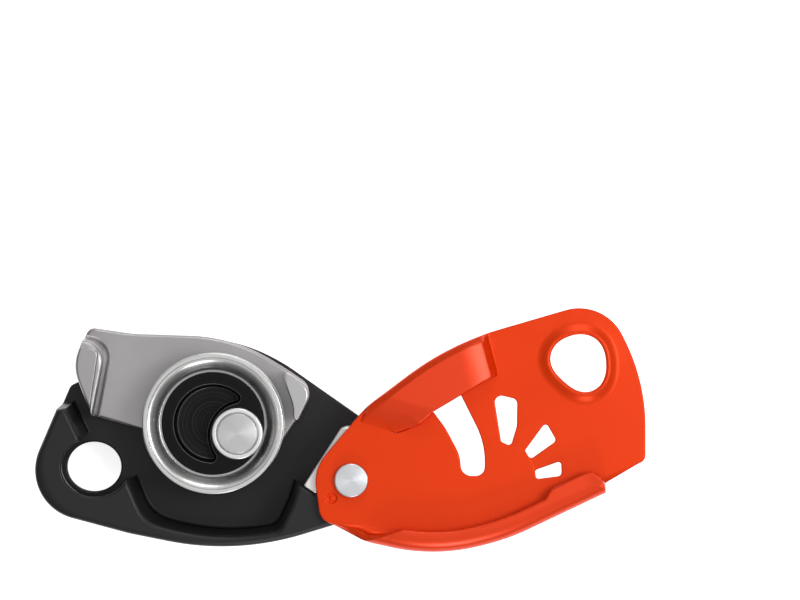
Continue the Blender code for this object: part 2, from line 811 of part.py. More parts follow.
def cam_spring():
    """The torsion spring round the axle: one leg down in the frame's floor, one up in the cam."""
    low = Z_FLOOR - SPRING_RECESS + CAM_WIRE / 2.0 + GAP
    high = Z_CAM - GAP - CAM_WIRE / 2.0
    first, last = spring_leg_angle(), spring_leg_angle(upper=True)
    turns = 1.0 + (last - first) / 360.0
    winding = coil(CAM_COIL_R, first, turns, low, high - low, 18)
    down = polar((0.0, 0.0), CAM_COIL_R, first)
    up = polar((0.0, 0.0), CAM_COIL_R, last)
    route = [(*down, Z_FRAME + 0.25), *winding, (*up, Z_CAM + 1.7)]
    return tube("cam_spring", route, CAM_WIRE / 2.0, 6)


def handle_spring():
    """The torsion spring inside the handle's hub, which folds the handle back."""
    low = CAP_T + 2.0 * GAP + HANDLE_WIRE / 2.0
    high = GRIP_T - GAP - HANDLE_WIRE / 2.0
    return tube("handle_spring", coil(HANDLE_COIL_R, 100.0, 2.6, low, high - low, 18), HANDLE_WIRE / 2.0, 6)


def handle_line(along, beside):
    """A point of the folded handle: how far out from the axle, and how far to its left."""
    angle = math.radians(HANDLE_ANGLE)
    way = (math.cos(angle), math.sin(angle))
    return (way[0] * along - way[1] * beside, way[1] * along + way[0] * beside)


def handle_grip():
    """The moulded lever: a round hub, a waisted arm and a finger pad with grip ribs at its end."""
    half = GRIP_W / 2.0
    hub = slab(circle((0.0, 0.0), GRIP_HUB_R), 0.0, GRIP_T, 0.7, 2, "handle_grip")
    arm = rounded(
        [
            (*handle_line(2.0, -half), 0.0),
            (*handle_line(24.0, -half + 1.4), 14.0),
            (*handle_line(HANDLE_LENGTH, -half - 1.4), 5.0),
            (*handle_line(HANDLE_LENGTH, half), 4.6),
            (*handle_line(26.0, half - 1.0), 16.0),
            (*handle_line(2.0, half + 1.5), 0.0),
        ]
    )
    join(hub, slab(arm, 0.02, GRIP_T - 0.02, 0.8, 2, "arm"))
    cut(hub, hole((0.0, 0.0), GRIP_BORE_R, -1.0, GRIP_T + 1.0))
    for k in range(4):
        rib = rounded(
            [
                (*handle_line(HANDLE_LENGTH - 6.0 - 2.6 * k, -3.6), 0.0),
                (*handle_line(HANDLE_LENGTH - 4.9 - 2.6 * k, -3.6), 0.0),
                (*handle_line(HANDLE_LENGTH - 4.9 - 2.6 * k, 2.9), 0.0),
                (*handle_line(HANDLE_LENGTH - 6.0 - 2.6 * k, 2.9), 0.0),
            ]
        )
        cut(hub, loft("rib_gap", rib, [(-1.0, 0.3), (0.6, 0.0)]))
    for place in grip_rivet_places():
        cut(hub, hole(place, GRIP_RIVET_R + PRESS_GAP, -1.0, GRIP_T + 1.0, steps=16))
        cut(hub, hole(place, GRIP_RIVET_R + 0.9 + GAP, -1.0, 1.4, steps=20))
    return hub


def grip_rivet_places():
    """The two rivets that hold the grip to its steel link."""
    return [handle_line(along, 0.0) for along in (13.2, LINK_LENGTH - 3.4)]


def handle_link():
    """The stamped steel link that turns on the axle and pushes the cam's drive pin."""
    half = LINK_W / 2.0
    disc = slab(circle((0.0, 0.0), LINK_HUB_R), Z_LINK, Z_LINK + LINK_T, 0.15, 1, "handle_link")
    arm = rounded(
        [
            (*handle_line(1.0, -half), 0.0),
            (*handle_line(LINK_LENGTH, -half), 4.0),
            (*handle_line(LINK_LENGTH, half), 4.0),
            (*handle_line(1.0, half), 0.0),
        ]
    )
    join(disc, slab(arm, Z_LINK + 0.02, Z_LINK + LINK_T - 0.02, 0.15, 1, "arm"))
    cut(disc, hole((0.0, 0.0), AXLE_BORE_R, Z_LINK - 1.0, Z_LINK + LINK_T + 1.0))
    for place in grip_rivet_places():
        cut(disc, hole(place, GRIP_RIVET_R + PRESS_GAP, Z_LINK - 1.0, Z_LINK + LINK_T + 1.0, steps=16))
    return disc


def grip_rivet(name, place):
    """A rivet with its head sunk in the grip's back."""
    head = GRIP_RIVET_R + 0.9
    top = Z_LINK + LINK_T
    profile = [
        (0.0, 0.3),
        (head - 0.3, 0.3),
        (head, 0.6),
        (head, 1.4 - GAP + 0.4),
        (GRIP_RIVET_R, 1.4 - GAP + 0.4),
        (GRIP_RIVET_R, top),
        (0.0, top),
    ]
    return turned(name, profile, place, 20)


def plate_rim(grow=0.0):
    """The moving plate's outer silhouette, up to where its lower edge starts to roll."""
    corners = [
        (106.1, -7.2, 2.2),
        (106.1, 13.6, 50.0),
        (95.4, 35.1, 12.5),
        (55.1, 23.3, 74.0),
        (33.6, 7.1, 25.0),
        (19.9, -9.1, 11.0),
        (21.6, -21.9, 4.0),
        (30.0, -26.1, 0.0),
    ]
    return rounded(corners)(grow)[:-1]


def roll_line():
    """The silhouette that the rolled lower edge follows, from the pivot end to its cut end."""
    corners = [
        (23.6, -22.9, 0.0),
        (33.6, -27.9, 12.0),
        (51.5, -31.9, 50.0),
        (70.4, -27.2, 60.0),
        (95.7, -15.2, 0.0),
    ]
    path = rounded(corners + [(60.0, 60.0, 0.0)])()[:-1]
    return [Vector(p) for p in path]


def roll_stations():
    """Evenly spaced points along the rolled edge, each with its outward normal and its share of the length."""
    path = roll_line()
    lengths = [0.0]
    for a, b in zip(path, path[1:]):
        lengths.append(lengths[-1] + (b - a).length)
    total = lengths[-1]
    stations = []
    places = [0.02, 0.9, 1.9, 3.0, 4.2, 5.6, 7.2, 8.8, 10.4, 12.0, 13.6, 15.2, 17.2]
    spacing = 2.6
    count = round((total - places[-1]) / spacing)
    places += [places[-1] + (total - places[-1]) * k / count for k in range(1, count + 1)]
    places[-1:] = [total - 1.5, total - 0.7, total]
    for place in sorted(places):
        i = max(k for k, length in enumerate(lengths[:-1]) if length <= place + 1e-9)
        a, b = path[i], path[i + 1]
        point = a + (b - a) * ((place - lengths[i]) / (lengths[i + 1] - lengths[i]))
        before = path[max(i - 1, 0)]
        after = path[min(i + 2, len(path) - 1)]
        way = (after - before).normalized()
        stations.append((point, Vector((way.y, -way.x)), place, total - place))
    return stations


def roll_shape(done, left):
    """How far the edge is bent, in degrees, and how long its returned flange is."""
    bend = 180.0 * smooth((done + 2.4) / 23.5) * smooth((done + 0.3) / 3.0)
    flange = 0.08 + (ROLL_RETURN - 0.08) * smooth((done - 14.0) / 8.0)
    flange += ROLL_LOBE * smooth((13.0 - abs(left - 8.5)) / 9.0) * smooth((15.6 - left) / 3.6)
    if left < 5.5:
        ease = math.sqrt(max(0.0, 1.0 - ((5.5 - left) / 5.5) ** 2))
        flange *= 0.05 + 0.95 * ease
        bend = 100.0 + 80.0 * ease
    return bend, flange


def roll_section(bend, flange):
    """The bent edge in section: (outward from the root, upward) pairs for its outer and its inner face."""
    outer, inner = [], []
    for k in range(9):
        angle = math.radians(bend * k / 8.0)
        outer.append((ROLL_OUT * math.sin(angle), ROLL_UP * (1.0 - math.cos(angle))))
        inner_out, inner_up = ROLL_OUT - PLATE_T, ROLL_UP - PLATE_T
        inner.append((inner_out * math.sin(angle), ROLL_UP - inner_up * math.cos(angle)))
    end = math.radians(bend)
    way = Vector((math.cos(end), math.sin(end)))
    for face in (outer, inner):
        face.append(tuple(Vector(face[-1]) + way * flange))
    return outer, inner


def bridge_creases():
    """The straight lines in plan where the finger bridge starts to rise and where it is back down."""
    rise = (Vector((31.9, 2.9)), Vector((42.0, 0.1)))
    fall = (Vector((64.9, 27.5)), Vector((68.0, 15.6)))
    return rise, fall


def shear_line():
    """The cut that frees the bridge's inner edge from the plate."""
    return [(41.0, 0.55), (43.4, 1.3), (47.6, 3.1), (50.7, 6.2), (57.9, 10.5), (63.3, 13.7), (67.3, 15.75)]


def beside(line, distance):
    """The points of an open line moved to its right."""
    points = [Vector(p) for p in line]
    moved = []
    for i, point in enumerate(points):
        way = (points[min(i + 1, len(points) - 1)] - points[max(i - 1, 0)]).normalized()
        moved.append(tuple(point + Vector((way.y, -way.x)) * distance))
    return moved


def distance_to(line, x, y):
    """Signed distance of a point from a line, positive on its left."""
    start, end = line
    way = (end - start).normalized()
    return way.x * (y - start.y) - way.y * (x - start.x)


def inside(polygon, x, y):
    """Whether a point lies in a polygon."""
    found = False
    for (x0, y0), (x1, y1) in zip(polygon, polygon[1:] + polygon[:1]):
        if (y0 > y) != (y1 > y) and x < x0 + (x1 - x0) * (y - y0) / (y1 - y0):
            found = not found
    return found


def nearest(polyline, x, y):
    """Distance of a point from a closed polyline."""
    best = 1e9
    spot = Vector((x, y))
    for a, b in zip(polyline, polyline[1:] + polyline[:1]):
        a, b = Vector(a), Vector(b)
        run = b - a
        t = min(1.0, max(0.0, (spot - a).dot(run) / max(1e-12, run.length_squared)))
        best = min(best, (a + run * t - spot).length)
    return best


def plate_windows():
    """The three small windows that fan out from the bridge."""
    return [
        rounded([(68.6, -2.0, 0.6), (71.1, -3.2, 0.9), (72.7, 2.0, 6.0), (72.8, 9.0, 1.6), (66.6, 10.4, 1.7)]),
        rounded([(74.8, -4.3, 0.5), (76.2, -6.6, 0.9), (83.0, -1.8, 1.0), (80.2, 3.1, 0.9)]),
        rounded([(77.7, -11.75, 0.8), (84.3, -10.9, 1.1), (84.2, -7.0, 0.8), (77.4, -9.4, 0.7)]),
    ]


def big_window():
    """The long curved window, joined to the shear cut beside the bridge."""
    shear = shear_line()
    side = beside(shear, SHEAR)
    window_left = [(54.2, 1.5, 18.0), (57.9, -5.5, 9.0), (58.3, -10.9, 2.8), (64.2, -10.9, 2.8), (64.7, -3.0, 26.0)]
    outline = [(*side[0], 0.0), (*side[1], 0.0), (*side[2], 0.0), (*side[3], 0.4)]
    outline += [*window_left, (*side[4], 0.4), (*side[5], 0.0), (*side[6], 0.0)]
    outline += [(*point, 0.0) for point in reversed(shear)]
    return rounded(outline)


def plate_eye():
    """The carabiner eye of the moving plate, a rounded triangle: a circle with a two-lobed and a three-lobed wave."""
    corners = []
    for k in range(PLATE_EYE_STEPS):
        turn = 360.0 * k / PLATE_EYE_STEPS
        long_way = PLATE_EYE_LONG * math.cos(math.radians(2.0 * (turn - PLATE_EYE_LONG_AT)))
        lobes = PLATE_EYE_LOBE * math.cos(math.radians(3.0 * (turn - PLATE_EYE_LOBE_AT)))
        corners.append((*polar(PLATE_EYE, PLATE_EYE_R + long_way + lobes, turn), 0.0))
    return rounded(corners)


def moving_side_plate():
    """The pressed sheet: a flat web with an eye collar and a sheared finger bridge, and a rolled lower edge."""
    stations = roll_stations()
    roots, shapes = [], []
    for point, out, done, left in stations:
        out = out + Vector((out.y, -out.x)) * ROLL_SKEW * smooth((14.0 - left) / 14.0)
        bend, flange = roll_shape(done, left)
        reach = ROLL_OUT * math.sin(math.radians(min(bend, 90.0)))
        roots.append(point - out * reach)
        shapes.append((out, *roll_section(bend, flange)))
    rim = plate_rim()
    run_in = [tuple(p) for p in roots]
    end = stations[-1][0] + Vector((0.3, 2.45))
    boundary = rim + run_in + [tuple(end)]
    start_root = len(rim)
    rise, fall = bridge_creases()
    eye = plate_eye()
    dimple_at = polar(PIVOT, 6.9, -137.0)
    window = big_window()()
    holes = [window, eye(), circle(PIVOT, PLATE_BORE_R, 32)()] + [w() for w in plate_windows()]
    freed = [tuple(rise[1]), *beside(shear_line(), SHEAR / 2.0), tuple(fall[1])]
    bridge_zone = [*freed, tuple(fall[0]), (50.0, 40.0), tuple(rise[0])]

    rise_way = (rise[1] - rise[0]).normalized()
    fall_way = (fall[1] - fall[0]).normalized()

    def height(x, y, front):
        lift = 0.0
        if inside(bridge_zone, x, y):
            up = smooth(distance_to(rise, x, y) / BRIDGE_RAMP)
            past = -distance_to(fall, x, y)
            down = smooth(past / BRIDGE_STEP)
            ease = 1.0 - min(1.0, max(0.0, (past - BRIDGE_STEP) / BRIDGE_EASE))
            lift = up * down * (BRIDGE_H - BRIDGE_EASE_H * ease * ease)
            edge = nearest(rim, x, y)
            if edge < BRIDGE_ROUND:
                lift -= BRIDGE_ROUND_H * up * down * (1.0 - edge / BRIDGE_ROUND) ** 2
        collar = nearest(eye(), x, y)
        if collar < COLLAR_W:
            lift += COLLAR_H * (1.0 - smooth(collar / COLLAR_W)) - 0.35 * (1.0 - smooth(collar / 0.9))
        dent = (Vector((x, y)) - Vector(dimple_at)).length
        if front and dent < DIMPLE_R:
            lift -= DIMPLE_DEPTH * smooth((DIMPLE_R - dent) / 0.45)
        return lift

    creases = []
    for share in (0.0, 0.17, 0.34, 0.5, 0.66, 0.83, 1.0):
        shift = Vector((-rise_way.y, rise_way.x)) * BRIDGE_RAMP * share
        creases.append([tuple(rise[0] + shift - rise_way * 2.0), tuple(rise[1] + shift + rise_way * 9.0)])
    falls = [BRIDGE_STEP * share for share in (0.0, 0.25, 0.5, 0.75, 1.0)]
    falls += [BRIDGE_STEP + BRIDGE_EASE * share for share in (0.33, 0.66, 1.0)]
    for past in falls:
        shift = Vector((fall_way.y, -fall_way.x)) * past
        creases.append([tuple(fall[0] + shift - fall_way * 2.0), tuple(fall[1] + shift)])
    loops = [eye(g) for g in (0.45, 0.95, 1.8, 2.7, COLLAR_W)]
    loops += [circle(dimple_at, DIMPLE_R, 16)(), circle(dimple_at, DIMPLE_R - 0.5, 16)()]
    inner_rims = [plate_rim(-g) for g in (0.5, 1.0, BRIDGE_ROUND)]
    for ring in inner_rims:
        kept = [p for p in ring if inside(bridge_zone, *p)]
        creases.append(kept)
    creases = [clip_to_zone(line, bridge_zone) for line in creases]
    return pressed_sheet("moving_side_plate", boundary, start_root, holes, loops, creases, height, shapes, roots)


def clip_to_zone(line, zone):
    """Keeps a crease's points, thinned so that none lies outside the bridge by more than its ends."""
    if len(line) != 2:
        return line
    a, b = Vector(line[0]), Vector(line[1])
    inside_at = [k / 60.0 for k in range(61) if inside(zone, *(a + (b - a) * (k / 60.0)))]
    if not inside_at:
        return []
    low, high = max(0.0, inside_at[0] - 1 / 60.0), min(1.0, inside_at[-1] + 1 / 60.0)
    steps = 4
    return [tuple(a + (b - a) * (low + (high - low) * k / steps)) for k in range(steps + 1)]


def pressed_sheet(name, boundary, start_root, holes, loops, creases, height, shapes, roots):
    """Triangulates the flat web in plan, lifts it by its height, and adds the rolled edge to its root line."""
    points, edges = [], []

    def add(line, closed):
        if len(line) < 2:
            return
        first = len(points)
        points.extend(Vector(p[:2]) for p in line)
        pairs = [(first + k, first + k + 1) for k in range(len(line) - 1)]
        edges.extend(pairs + ([(first + len(line) - 1, first)] if closed else []))

    add(boundary, True)
    for loop in holes + loops:
        add(loop, True)
    for line in creases:
        add(line, False)
    result = delaunay_2d_cdt(points, edges, [], 0, 1e-5)
    flat, triangles, origins = result[0], result[2], result[3]
    kept = []
    for tri in triangles:
        x = sum(flat[i].x for i in tri) / 3.0
        y = sum(flat[i].y for i in tri) / 3.0
        if inside(boundary, x, y) and not any(inside(h, x, y) for h in holes):
            kept.append(tuple(tri))
    used = sorted({i for tri in kept for i in tri})
    index = {old: new for new, old in enumerate(used)}
    count = len(used)
    vertices = []
    for front in (0, 1):
        for x, y in (flat[i] for i in used):
            vertices.append((x, y, Z_PLATE + PLATE_T * front + height(x, y, front)))
    faces = []
    seen = {}
    for tri in kept:
        a, b, c = (index[i] for i in tri)
        faces.append((a, c, b))
        faces.append((a + count, b + count, c + count))
        for edge in ((a, b), (b, c), (c, a)):
            seen[edge] = True
    root_of = {}
    for new, old in enumerate(used):
        for source in origins[old]:
            if start_root <= source < start_root + len(roots):
                root_of[source - start_root] = new
    root_edges = set()
    for k in range(len(roots) - 1):
        root_edges |= {(root_of[k], root_of[k + 1]), (root_of[k + 1], root_of[k])}
    for a, b in seen:
        if (b, a) not in seen and (a, b) not in root_edges:
            faces.append((a, b, b + count, a + count))
    rows = []
    for k, (out, outer, inner) in enumerate(shapes):
        row = []
        for face, start in ((outer, root_of[k]), (inner, root_of[k] + count)):
            line = [start]
            for away, up in face[1:]:
                line.append(len(vertices))
                place = roots[k] + out * away
                vertices.append((place.x, place.y, Z_PLATE + up))
            row.append(line)
        rows.append(row)
    last = len(rows[0][0]) - 1
    for (outer_a, inner_a), (outer_b, inner_b) in zip(rows, rows[1:]):
        for j in range(last):
            faces.append((outer_a[j], outer_b[j], outer_b[j + 1], outer_a[j + 1]))
            faces.append((inner_a[j], inner_a[j + 1], inner_b[j + 1], inner_b[j]))
        faces.append((outer_a[last], outer_b[last], inner_b[last], inner_a[last]))
    for outer, inner in (rows[0], rows[-1]):
        for j in range(last):
            faces.append((outer[j], outer[j + 1], inner[j + 1], inner[j]))
    return mesh_object(name, vertices, faces)


def washer(name, centre, inner, outer, low, steps=28):
    """A flat washer."""
    return turned(name, ring_profile(inner, outer, low, low + WASHER_T), centre, steps)


def material(name):
    """One Principled BSDF material for each finish."""
    colour, roughness, metallic = FINISHES[name]
    made = bpy.data.materials.new(name)
    made.use_nodes = True
    shader = made.node_tree.nodes["Principled BSDF"]
    shader.inputs["Base Color"].default_value = (*colour, 1.0)
    shader.inputs["Roughness"].default_value = roughness
    shader.inputs["Metallic"].default_value = metallic
    made.diffuse_color = (*colour, 1.0)
    return made


def axis(name, place, parent=None):
    """An empty on a joint's axis, in plan millimetres from its parent's."""
    empty = bpy.data.objects.new(name, None)
    bpy.context.scene.collection.objects.link(empty)
    empty.parent = parent
    empty.location = (place[0] * MM, place[1] * MM, 0.0)
    return empty


def fit(obj, holder, origin, finish):
    """Hangs a piece on its axis, moves its own origin there and gives it its finish."""
    obj.data.transform(Matrix.Translation((-origin[0] * MM, -origin[1] * MM, 0.0)))
    obj.parent = holder
    obj.data.materials.clear()
    obj.data.materials.append(material(finish))
    obj.data.materials[0].name = f"{obj.name}_{finish}"
    obj.data.shade_smooth()
    obj.data.set_sharp_from_angle(angle=math.radians(35.0))


def main():
    for obj in list(bpy.data.objects):
        bpy.data.objects.remove(obj)
    device = axis("belay_device", (-MIDDLE[0], -MIDDLE[1]))
    cam = axis("cam_axis", (0.0, 0.0), device)
    wheel = axis("wheel_axis", WHEEL, cam)
    plate = axis("plate_axis", PIVOT, device)
    handle = axis("handle_axis", (0.0, 0.0), device)
    middle = (0.0, 0.0)

    fit(side_frame(), device, middle, "black_anodised")
    fit(friction_shoe(), device, middle, "bright_steel")
    for letter, place in zip("ab", shoe_pin_places()):
        dowel = pin(f"shoe_pin_{letter}", place, SHOE_PIN_R, Z_FRAME + 0.1, Z_FLOOR + 5.5, 0.2, 12)
        fit(dowel, device, middle, "bright_steel")
    fit(cam_axle(), device, middle, "brushed_head")
    fit(axle_collar(), device, middle, "bright_steel")
    thrust = washer("cam_thrust_washer", middle, AXLE_BORE_R, CAM_COIL_R - CAM_WIRE / 2.0 - GAP - 0.4, Z_THRUST)
    fit(thrust, device, middle, "bronze")
    fit(cam_spring(), device, middle, "spring_steel")
    fit(plate_rivet(), device, middle, "brushed_head")
    low_washer = washer("pivot_washer", PIVOT, RIVET_R + GAP, PIVOT_WASHER_R, Z_WALL + GAP)
    fit(low_washer, device, middle, "white_polymer")
    back_washer = washer("axle_back_washer", middle, AXLE_BORE_R, AXLE_BACK_R + 0.6, GRIP_T - WASHER_T)
    fit(back_washer, device, middle, "bright_steel")
    fit(handle_spring(), device, middle, "spring_steel")

    fit(cam_plate(), cam, middle, "cast_steel")
    fit(wheel_hub(), cam, middle, "black_hub")
    bush = turned("cam_bush", ring_profile(AXLE_BORE_R, CAM_BUSH_R, Z_CAM + 0.1, Z_HUB_FACE - 0.1), middle, 32)
    fit(bush, cam, middle, "bronze")
    for letter, place in zip("ab", dowel_places()):
        dowel = pin(f"hub_dowel_{letter}", place, DOWEL_R, Z_CAM + 0.1, Z_HUB + 4.5, 0.25, 14)
        fit(dowel, cam, middle, "bright_steel")
    drive = pin("drive_pin", drive_pin_place(), DRIVE_PIN_R, Z_LINK + 0.2, Z_CAM + CAM_T - 0.1, 0.25, 20)
    fit(drive, cam, middle, "bright_steel")
    spacer = washer("wheel_washer", WHEEL, HUB_CORE_R + GAP, WHEEL_BORE_R + 1.6, Z_HUB, 36)
    fit(spacer, cam, middle, "white_polymer")

    fit(wheel_sheave(), wheel, WHEEL, "bright_steel")
    bush_top = Z_HUB_FACE - HUB_FACE_T - GAP
    bush = turned("wheel_bush", ring_profile(HUB_CORE_R + GAP, BUSH_R, Z_WHEEL, bush_top), WHEEL, 36)
    fit(bush, wheel, WHEEL, "bronze")

    fit(moving_side_plate(), plate, PIVOT, "orange_anodised")
    bush = turned("plate_bush", ring_profile(RIVET_R + GAP, PLATE_BUSH_R, Z_PLATE, Z_PLATE_TOP), PIVOT, 28)
    fit(bush, plate, PIVOT, "bronze")

    fit(handle_link(), handle, middle, "cast_steel")
    fit(handle_grip(), handle, middle, "black_nylon")
    for letter, place in zip("ab", grip_rivet_places()):
        fit(grip_rivet(f"grip_rivet_{letter}", place), handle, middle, "bright_steel")
    cap = slab(circle(middle, GRIP_BORE_R - GAP), 0.15, 0.15 + CAP_T, 0.3, 2, "handle_cap")
    fit(cap, handle, middle, "black_nylon")


main()
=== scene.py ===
"""The looks of a cam-assisted belay device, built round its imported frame.

Shapes are drawn in plan millimetres with the cam axle at (0, 0), as the maker's drawing would be, and are
then moved to the row's frame. The three axes and every height come from the frame itself.
"""

import json
import logging
import math
from dataclasses import dataclass, field
from enum import Enum
from typing import Iterable, Optional, Sequence, Union

import bmesh
import bpy
import numpy as np
from mathutils import Matrix, Vector
from mathutils.geometry import delaunay_2d_cdt


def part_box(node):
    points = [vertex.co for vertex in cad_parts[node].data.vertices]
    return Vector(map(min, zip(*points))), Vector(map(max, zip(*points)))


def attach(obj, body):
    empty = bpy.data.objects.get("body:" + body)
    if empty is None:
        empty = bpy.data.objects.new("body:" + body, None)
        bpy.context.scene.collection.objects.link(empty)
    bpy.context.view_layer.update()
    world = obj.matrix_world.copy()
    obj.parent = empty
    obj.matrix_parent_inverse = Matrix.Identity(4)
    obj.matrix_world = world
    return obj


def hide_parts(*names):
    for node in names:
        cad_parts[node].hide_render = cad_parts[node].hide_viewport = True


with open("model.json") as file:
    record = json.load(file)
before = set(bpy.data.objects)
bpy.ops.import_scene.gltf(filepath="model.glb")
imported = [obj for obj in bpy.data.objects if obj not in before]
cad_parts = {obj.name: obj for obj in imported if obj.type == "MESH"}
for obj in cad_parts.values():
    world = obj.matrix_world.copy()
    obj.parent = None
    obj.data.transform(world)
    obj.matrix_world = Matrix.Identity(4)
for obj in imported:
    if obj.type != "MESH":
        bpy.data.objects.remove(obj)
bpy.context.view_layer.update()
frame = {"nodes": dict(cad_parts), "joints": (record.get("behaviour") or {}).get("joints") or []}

log = logging.getLogger("belay_device")

MM = 0.001
# The gap between neighbours, how far a cutter runs past what it cuts, the side plate's thickness and the
# depth of the hub's pocket, in millimetres.
GAP = 0.3
OVER = 1.0
SHEET = 2.0
POCKET_DEEP = 4.5
Point = tuple[float, float]
Corner = tuple[float, float, float]
Colour = tuple[float, float, float]
Level = tuple[float, float]
AXLE: Point = (0.0, 0.0)


def srgb(red: int, green: int, blue: int) -> Colour:
    """Turns a colour seen on a screen into the linear one that a shader takes.

    Args:
        red, green, blue: Screen values from 0 to 255.

    Returns:
        The same colour in linear light.
    """

    def linear(value: int) -> float:
        """One channel in linear light."""
        share = value / 255.0
        return share / 12.92 if share <= 0.04045 else ((share + 0.055) / 1.055) ** 2.4

    return (linear(red), linear(green), linear(blue))


def polar(centre: Point, radius: float, degrees: float) -> Point:
    """The point at this radius and angle from a centre."""
    angle = math.radians(degrees)
    return (centre[0] + radius * math.cos(angle), centre[1] + radius * math.sin(angle))


def bearing(spot: Vector, origin: Vector) -> float:
    """The direction of a spot seen from an origin, from 0 to 360 degrees.

    Args:
        spot: The place that is looked at.
        origin: The place that it is seen from.

    Returns:
        The angle from the x axis.
    """
    spoke = spot - origin
    return math.degrees(math.atan2(spoke.y, spoke.x)) % 360.0


def ease(value: np.ndarray) -> np.ndarray:
    """Eases 0 to 1 with level ends."""
    share = np.clip(value, 0.0, 1.0)
    return share * share * (3.0 - 2.0 * share)


class Drawing:
    """Reads axes and heights from the frame, in millimetres from the cam axle."""

    def __init__(self) -> None:
        self.joints = {joint["name"]: joint for joint in frame["joints"]}
        self.axle = Vector(self.joints["cam_pivot"]["pos_m"])
        self.wheel = self.plan("wheel_spin")
        self.pivot = self.plan("plate_swing")

    def plan(self, joint: str) -> Point:
        """Where a joint's axis stands in plan, from the cam axle."""
        place = Vector(self.joints[joint]["pos_m"]) - self.axle
        return (place.x / MM, place.y / MM)

    def span(self, node: str) -> Level:
        """The heights of a node's lowest and highest points."""
        low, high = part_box(node)
        return (low.z / MM, high.z / MM)

    def low(self, node: str) -> float:
        """The height of a node's lowest point."""
        return self.span(node)[0]

    def high(self, node: str) -> float:
        """The height of a node's highest point."""
        return self.span(node)[1]

    def reach(self, node: str) -> float:
        """Half of a node's width, which is the radius of a turned one."""
        low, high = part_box(node)
        return (high.x - low.x) / MM / 2.0

    def placing(self) -> Matrix:
        """The matrix that takes plan millimetres to the row's frame."""
        return Matrix.Translation((self.axle.x, self.axle.y, 0.0)) @ Matrix.Scale(MM, 4)


drawing = Drawing()


@dataclass(frozen=True)
class Outline:
    """A closed outline through (x, y, fillet radius) corners, anticlockwise.

    Attributes:
        corners: The corners with their fillets.
        sag: How far a chord may stand off its arc.
    """

    corners: Sequence[Corner]
    sag: float = 0.008

    def steps(self, radius: float, turn: float) -> int:
        """How many chords an arc needs.

        Args:
            radius: The arc's radius.
            turn: How far it turns, in radians.

        Returns:
            As many chords as keep to the sag.
        """
        if radius <= self.sag:
            return 1
        step = 2.0 * math.acos(1.0 - self.sag / radius)
        return max(2, math.ceil(abs(turn) / min(step, math.radians(15.0))))

    def points(self, grow: float = 0.0) -> list[Point]:
        """The outline's points.

        Args:
            grow: How far the outline is moved out.

        Returns:
            As many points for any grow, so that levels can be joined.
        """
        count = len(self.corners)
        spots = [Vector(corner[:2]) for corner in self.corners]
        ways = [(spots[(i + 1) % count] - spots[i]).normalized() for i in range(count)]
        tips, turns, reaches = [], [], []
        for i in range(count):
            before, after = ways[i - 1], ways[i]
            turn = math.atan2(before.x * after.y - before.y * after.x, before.dot(after))
            out = Vector((before.y + after.y, -before.x - after.x)).normalized()
            tips.append(spots[i] + out * (grow / max(0.2, math.cos(turn / 2.0))))
            turns.append(turn)
            radius = self.corners[i][2]
            if radius:
                radius = max(0.03, radius + math.copysign(grow, turn))
            reaches.append(radius * math.tan(abs(turn) / 2.0))
        for i in range(count):
            after_i = (i + 1) % count
            room = (tips[after_i] - tips[i]).length * 0.998
            total = reaches[i] + reaches[after_i]
            if total > room:
                reaches[i] *= room / total
                reaches[after_i] *= room / total
        found: list[Point] = []
        for i in range(count):
            turn, reach = turns[i], reaches[i]
            if not self.corners[i][2] or reach < 1e-6:
                found.append(tuple(tips[i]))
                continue
            start = tips[i] - ways[i - 1] * reach
            side = Vector((-ways[i - 1].y, ways[i - 1].x)) * math.copysign(1.0, turn)
            centre = start + side * (reach / math.tan(abs(turn) / 2.0))
            steps = self.steps(self.corners[i][2], turn)
            for k in range(steps + 1):
                spoke = Matrix.Rotation(turn * k / steps, 2) @ (start - centre)
                found.append(tuple(centre + spoke))
        return found


@dataclass(frozen=True)
class Round:
    """A circle or an oval.

    Attributes:
        centre: Its middle in plan.
        across: Half its width.
        up: Half its height, or nothing for a circle.
        count: How many points it has.
    """

    centre: Point
    across: float
    up: Optional[float] = None
    count: int = 96

    def points(self, grow: float = 0.0) -> list[Point]:
        """The points, moved out by grow.

        Args:
            grow: How far the circle or oval is moved out.

        Returns:
            The points, anticlockwise.
        """
        across = self.across + grow
        up = (self.up or self.across) + grow
        turns = [2.0 * math.pi * k / self.count for k in range(self.count)]
        return [(self.centre[0] + across * math.cos(a), self.centre[1] + up * math.sin(a)) for a in turns]


